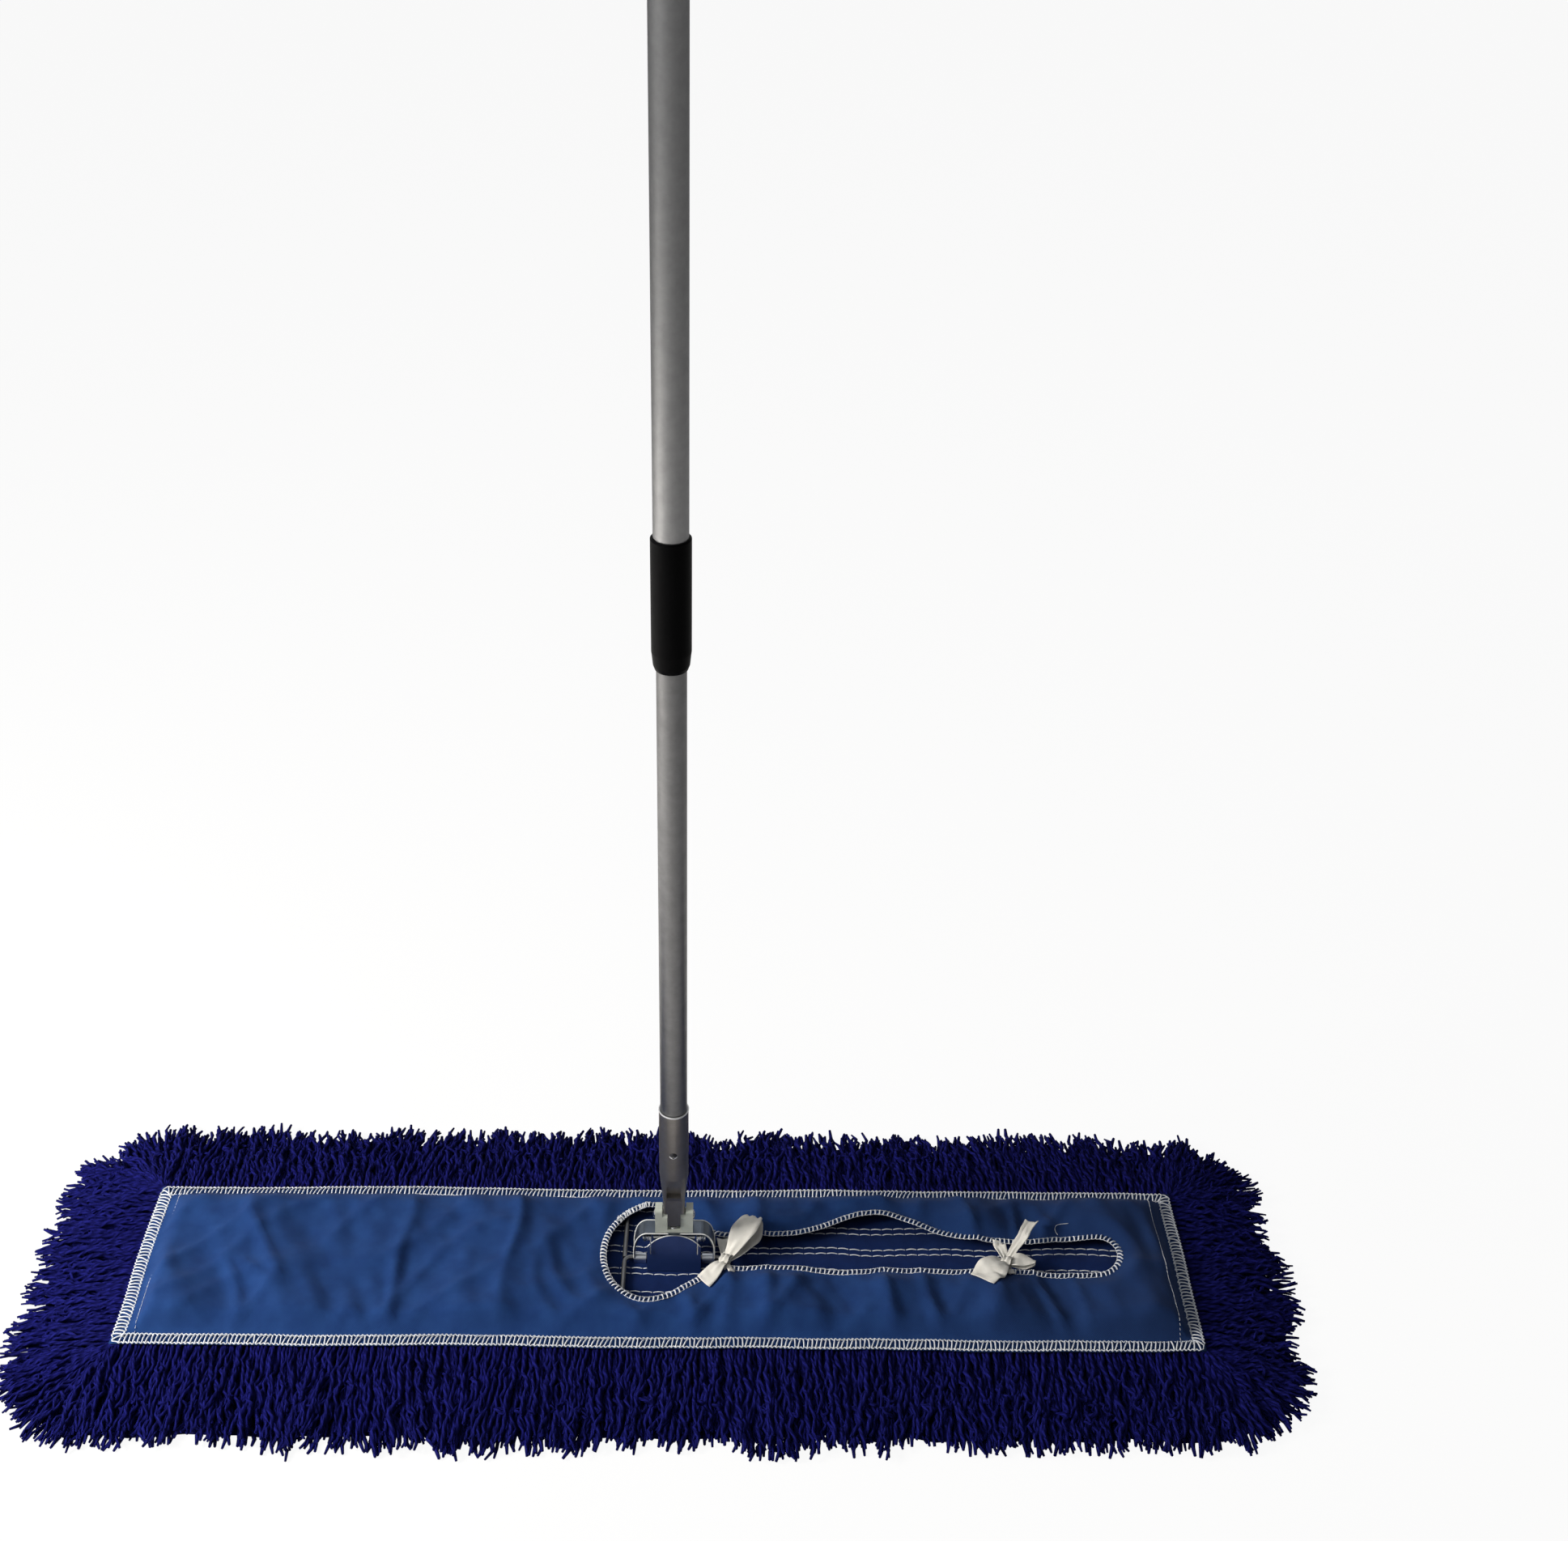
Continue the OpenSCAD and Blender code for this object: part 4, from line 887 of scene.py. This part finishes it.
def makeRunTree():
    # a running seam: dashes of thread that dip into the cloth
    tree, add, given = newTree("runningSeam", Geometry="Path", Float="Pitch, Dash, Thread",
                               Material="Material")
    profile = add("CurvePrimitiveCircle", {"Resolution": 5})
    reach = add("Math", [given["Dash"], given["Pitch"]], "MULTIPLY")
    start, finish = [add("CombineXYZ", [add("Math", [reach, half], "MULTIPLY")]) for half in (-0.5, 0.5)]
    return closeTree(tree, layStitches(add, given, start, finish, profile), given["Material"])


seamTree, runTree = makeSeamTree(), makeRunTree()


def sewSeam(name, lines, tree, look):
    path = newPath(name, lines)
    wear(path, tree, {**look, "Seed": 5, "Material": thread})
    settle(bake(path, name))


# lift is the height over the cloth; names with capitals are sockets of the node groups
seamLook = {
    "hem": {"inset": 0.0054, "lift": 0.0003, "Pitch": 0.0036, "Width": 0.0092, "Thread": 0.0013,
            "Chain": 0.0011, "Slant": 0.0009, "Chain Wave": 0.0008},
    "slot": {"over": 0.0004, "lift": 0.0004, "Pitch": 0.0039, "Width": 0.005, "Thread": 0.0014,
             "Chain": 0.0005, "Slant": 0.0006, "Chain Wave": 0.0003},
    "start": {"lift": 0.0006, "Pitch": 0.0031, "Width": 0.0054, "Thread": 0.0011, "Chain": 0.0006,
              "Slant": 0.0007, "Chain Wave": 0.0005},
    "loose": {"lift": 0.0006, "knot": (0.0026, 0.0034), "Pitch": 0.0009, "Dash": 1.2, "Thread": 0.00045,
              "tail": [(0.3402, 0.0298), (0.3390, 0.0316), (0.3385, 0.0340), (0.3388, 0.0360),
                       (0.3398, 0.0378), (0.3415, 0.0390), (0.3442, 0.0398), (0.3475, 0.0399),
                       (0.3503, 0.0398)]},
    "rows": {"half": 0.44, "steps": 220, "lift": 0.0001, "Pitch": 0.0098, "Dash": 0.9, "Thread": 0.0009},
    "ends": {"half": 0.082, "steps": 59, "inset": 0.0195, "uneven": 0.001, "slant": 0.018, "waver": 0.0006,
             "Pitch": 0.004, "Dash": 0.92, "Thread": 0.00042},
}


def spread(look):
    return [-look["half"] + 2 * look["half"] * i / look["steps"] for i in range(look["steps"] + 1)]


def onCanvas(line, lift=0.0):
    return [(x, y, canvasHeight(x, y) + lift) for x, y in line]


def makeSeams():
    look = seamLook["hem"]
    rim = []
    for x, y in border(halfX - look["inset"], halfY - look["inset"], 150, 30):
        dx, dy = hemWaver(x, y)
        rim.append((x + dx, y + dy, canvasHeight(x, y) + look["lift"]))
    sewSeam("seamHem", [(rim, True)], seamTree, look)
    look = seamLook["slot"]
    around = onCanvas(slotOutline(look["Width"] / 2 - look["over"]), look["lift"])
    sewSeam("seamSlot", [(around, True)], seamTree, look)
    look = seamLook["start"]  # where the slot's seam starts and ends over itself
    lap = [(x, y, z + look["lift"]) for x, y, z in around[1:11]]
    sewSeam("seamStart", [(lap, False)], seamTree, look)
    look = seamLook["loose"]
    tail = onCanvas(look["tail"], look["lift"])
    knotX, knotY = look["knot"]
    tangle = [(knotX * math.sin(i * 2.3), knotY * math.sin(i * 1.7 + 1), 0.001 + 0.0001 * i)
              for i in range(14)]
    knot = [Vector(around[10]) + Vector(p) for p in tangle]
    sewSeam("threadLoose", [(tail, False), (knot, False)], runTree, look)
    look = seamLook["rows"]
    rows = []
    for row in baseLook["rows"]:
        for offset in (-baseLook["pair"] / 2, baseLook["pair"] / 2):
            line = [(x, row + offset + rowWaver(x, row)) for x in spread(look)]
            rows.append(([(x, y, baseHeight(x, y) + look["lift"]) for x, y in line], False))
    sewSeam("seamRows", rows, runTree, look)
    look = seamLook["ends"]  # the right one stands at a slant
    ends = []
    for side in (-1, 1):
        line = []
        for y in spread(look):
            inset = look["inset"] + look["uneven"] * side + look["slant"] * max(0, side) * (y + 0.08)
            x = side * (halfX - inset) + look["waver"] * ripple(y * 20, side, 4)
            line.append((x, y))
        ends.append((onCanvas(line), False))
    sewSeam("seamEnds", ends, runTree, look)


makeSeams()
print("stage: seams sewn")


# tie tapes
tapeLook = {"width": 0.019, "thickness": 0.0007, "lift": 0.0018, "pucker": 0.004, "crinkle": 0.0016,
            "curl": 0.0022, "knot": (0.0021, 0.0042, 0.0036), "knotWidth": 0.0125}


def ribbon(stations, width, samples, rows=5):
    # stations: (place, across, share of the width), joined by a smooth curve through them
    verts, uvs = [], []
    count = (len(stations) - 1) * samples
    travelled, last = 0.0, None
    for k in range(count + 1):
        at = min(k / samples, len(stations) - 1.000001)
        i, f = int(at), at - int(at)
        around = [stations[max(0, min(len(stations) - 1, j))] for j in range(i - 1, i + 3)]
        weights = (-0.5 * f + f * f - 0.5 * f ** 3, 1 - 2.5 * f * f + 1.5 * f ** 3,
                   0.5 * f + 2 * f * f - 1.5 * f ** 3, -0.5 * f * f + 0.5 * f ** 3)
        place = sum((Vector(s[0]) * w for s, w in zip(around, weights)), Vector())
        across = sum((Vector(s[1]) * w for s, w in zip(around, weights)), Vector()).normalized()
        share = sum(s[2] * w for s, w in zip(around, weights))
        if last is not None:
            travelled += (place - last).length
        last = place
        for r in range(rows + 1):
            v = r / rows - 0.5
            spot = place + across * v * width * share
            pucker = max(0.0, 1 - share) * tapeLook["pucker"] * math.cos(v * 3 * math.pi)
            bend = ripple(travelled * 95, v * 3.2, len(stations))
            crinkle = tapeLook["crinkle"] * share * bend
            curl = tapeLook["curl"] * share * (4 * v * v - 0.4)  # the edges curl up
            verts.append(spot + Vector((0, 0, pucker + crinkle + curl)))
            uvs.append((travelled, v * width))
    return verts, gridFaces(rows, count), uvs


def makeTape(name, strips, knotAt, node):
    # the knot is a band of tape drawn round the middle
    x, y, z = tapeLook["knot"]
    band = []
    for i in range(13):
        a = 2 * math.pi * i / 12
        place = Vector(knotAt) + Vector((x * math.cos(a), y * math.cos(a), z * math.sin(a)))
        band.append((place, (0.9, -0.4, 0.1), 0.62 + 0.06 * math.sin(3 * a)))
    verts, faces, uvs = [], [], []
    for stations, width in strips + [(band, tapeLook["knotWidth"])]:
        points, quads, flat = ribbon(stations, width, 3 if stations is band else 9)
        for p in points:
            if stations is not band and not inSlot(p.x, p.y):  # the ends lie on the canvas
                p.z = max(p.z, canvasHeight(p.x, p.y) + tapeLook["lift"])
        faces += [tuple(len(verts) + i for i in quad) for quad in quads]
        verts += points
        uvs += flat
    piece = newMesh(name, verts, faces, tapeCloth, uvs)
    thicken(piece, tapeLook["thickness"], 0)
    settle(piece, node=node)
    width = tapeLook["width"]


def makeTies():
    # where each tape is knotted, and just under and over that
    innerKnot, outerKnot = (0.0512, -0.004, 0.0325), (0.2922, -0.0043, 0.0325)
    innerUnder, outerUnder = (0.0512, -0.004, 0.0320), (0.2922, -0.0043, 0.0320)
    innerTop, outerTop = (0.0512, -0.004, 0.0335), (0.2922, -0.0043, 0.0335)
    inner = [
        # petal-shaped loop to the far right, out and back
        ([(innerKnot, (0.8, -0.5, 0.1), 0.25), ((0.0585, 0.0035, 0.041), (0.93, -0.36, 0.1), 0.6),
          ((0.0665, 0.0165, 0.0475), (0.97, -0.2, 0.1), 1.0),
          ((0.0728, 0.0285, 0.0485), (0.97, -0.22, 0.1), 0.85),
          ((0.0752, 0.0345, 0.0452), (0.96, -0.26, 0.0), 0.5),
          ((0.0745, 0.030, 0.0412), (0.95, -0.3, -0.1), 0.8),
          ((0.0705, 0.017, 0.0385), (0.93, -0.35, -0.1), 0.95),
          ((0.0605, 0.0025, 0.0352), (0.9, -0.4, 0.0), 0.55),
          (innerKnot, (0.8, -0.5, 0.0), 0.25)], 0.0225),
        # free end to the near left, flared
        ([(innerKnot, (0.7, -0.6, 0.1), 0.3), ((0.0462, -0.0115, 0.0352), (0.68, -0.68, 0.2), 0.62),
          ((0.0402, -0.0195, 0.0335), (0.62, -0.76, 0.1), 0.92),
          ((0.0328, -0.0285, 0.0308), (0.58, -0.8, 0.0), 1.0)], 0.0178),
        # sewn ends to both edges of the slot
        ([(innerUnder, (1, 0.1, 0), 0.3), ((0.0502, 0.0075, 0.0312), (1, 0.1, 0.1), 0.6),
          ((0.0495, 0.0235, 0.0300), (1, 0.05, 0.1), 1.0)], 0.0125),
        ([(innerUnder, (1, 0.2, 0), 0.5), ((0.0538, -0.011, 0.0305), (1, 0.2, 0), 0.7),
          ((0.0565, -0.0195, 0.0297), (1, 0.2, 0), 0.9)], 0.0062),
    ]
    outer = [
        # long end to the far right
        ([(outerKnot, (0.9, -0.4, 0.1), 0.35), ((0.2985, 0.0045, 0.0385), (0.9, -0.43, 0.2), 0.62),
          ((0.3066, 0.0150, 0.042), (0.9, -0.45, 0.25), 0.85),
          ((0.3115, 0.0250, 0.0432), (0.92, -0.4, 0.1), 0.8),
          ((0.3172, 0.0342, 0.0425), (0.9, -0.36, 0.2), 1.0)], 0.0118),
        # broad end to the near left
        ([(outerKnot, (0.4, -0.9, 0.1), 0.3), ((0.2862, -0.0105, 0.0385), (0.6, -0.8, 0.15), 0.7),
          ((0.2775, -0.0195, 0.0405), (0.68, -0.73, 0.05), 1.08),
          ((0.2676, -0.0315, 0.0335), (0.72, -0.69, 0.0), 0.9)], 0.0265),
        # small loop to the right
        ([(outerKnot, (0.2, 0.9, 0.1), 0.35), ((0.2990, -0.0050, 0.0362), (0.1, 0.95, 0.2), 0.85),
          ((0.3080, -0.0052, 0.0356), (0.1, 1, 0.2), 0.72), ((0.3165, -0.0055, 0.0336), (0.1, 1, 0), 0.12),
          ((0.3075, -0.0068, 0.0318), (0.1, 1, 0), 0.7), (outerUnder, (0.2, 0.9, 0), 0.35)], 0.0135),
        # sewn ends to both edges of the slot
        ([(outerUnder, (1, 0.1, 0), 0.3), ((0.2905, 0.006, 0.0315), (1, 0.0, 0.1), 0.65),
          ((0.2878, 0.0190, 0.0305), (1, -0.25, 0.1), 1.0)], 0.0118),
        ([(outerUnder, (1, 0.2, 0), 0.5), ((0.2934, -0.011, 0.0305), (1, 0.2, 0), 0.7),
          ((0.2948, -0.019, 0.0297), (1, 0.2, 0), 0.9)], 0.0068),
    ]
    makeTape("tieInner", inner, innerTop, "tie_bow_inner")
    makeTape("tieOuter", outer, outerTop, "tie_bow_outer")


makeTies()
print("stage: ties made")

# rolled edges of the clip, too fine for the part's source: real beads, painted near-white as a highlight
edgeLook = {"flap": 0.0007, "hood": 0.00055, "flapLean": 20.0, "flapFoot": 0.012, "flapLow": 0.0206,
            "flapLong": 0.0325, "flapOut": 0.0005, "dome": 0.0295, "domeHalf": 49, "hoodHalf": 0.0345,
            "shoulder": (0.0115, 0.020), "hoodTop": 0.05405, "cheekLow": 0.027, "cheekHigh": 0.04755,
            "wire": 0.02405, "front": (-0.0042, -0.002), "back": (0.0062, 0.014)}


def rollEdge(name, points, radius, body):
    path = newPath(name, [(points, False)])
    path.data.bevel_depth = radius
    path.data.bevel_resolution = 2
    path.data.use_fill_caps = True
    piece = bake(path, name)
    piece.data.materials.clear()
    piece.data.materials.append(edgeHighlightSteel)
    settle(piece, body)


def makeEdges():
    lean = math.radians(edgeLook["flapLean"])
    foot = Vector((clip["x"], clip["y"] - edgeLook["flapFoot"], edgeLook["flapLow"]))
    up, out = Vector((0, math.sin(lean), math.cos(lean))), Vector((0, -math.cos(lean), math.sin(lean)))
    dome = edgeLook["dome"]
    arc = []
    for i in range(33):
        a = math.radians(edgeLook["domeHalf"] * (i / 16 - 1))
        rise = edgeLook["flapLong"] - dome + dome * math.cos(a)
        arc.append(foot + Vector((dome * math.sin(a), 0, 0)) + up * rise + out * edgeLook["flapOut"])
    rollEdge("flapEdge", arc, edgeLook["flap"], "flap")
    top, (rx, rz) = edgeLook["hoodTop"], edgeLook["shoulder"]
    for name in ("front", "back"):
        low, high = edgeLook[name]
        side = []
        for i in range(25):
            z = edgeLook["cheekLow"] + (top - edgeLook["cheekLow"]) * math.sin(i / 24 * math.pi / 2)
            bend = max(0.0, (z - top + rz) / rz)
            share = min(1.0, (z - edgeLook["wire"]) / (edgeLook["cheekHigh"] - edgeLook["wire"]))
            side.append((edgeLook["hoodHalf"] - rx + rx * math.sqrt(1 - bend * bend),
                         low + (high - low) * share, z))
        line = [(clip["x"] - x, clip["y"] + y, z) for x, y, z in side]
        line += [(clip["x"] + x, clip["y"] + y, z) for x, y, z in reversed(side)]
        rollEdge("hoodEdge" + name.capitalize(), line, edgeLook["hood"], "head")


makeEdges()
print("stage: edges rolled")


def makeSprings():
    for hand, side in (("left", -1), ("right", 1)):
        node = "clip_spring_" + hand
        mesh = nodes[node].data.copy()
        mesh.transform(nodes[node].matrix_world)
        piece = newPiece("spring" + hand.capitalize(), mesh)
        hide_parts(node)
        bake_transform(piece)


makeSprings()
print("stage: springs wound")
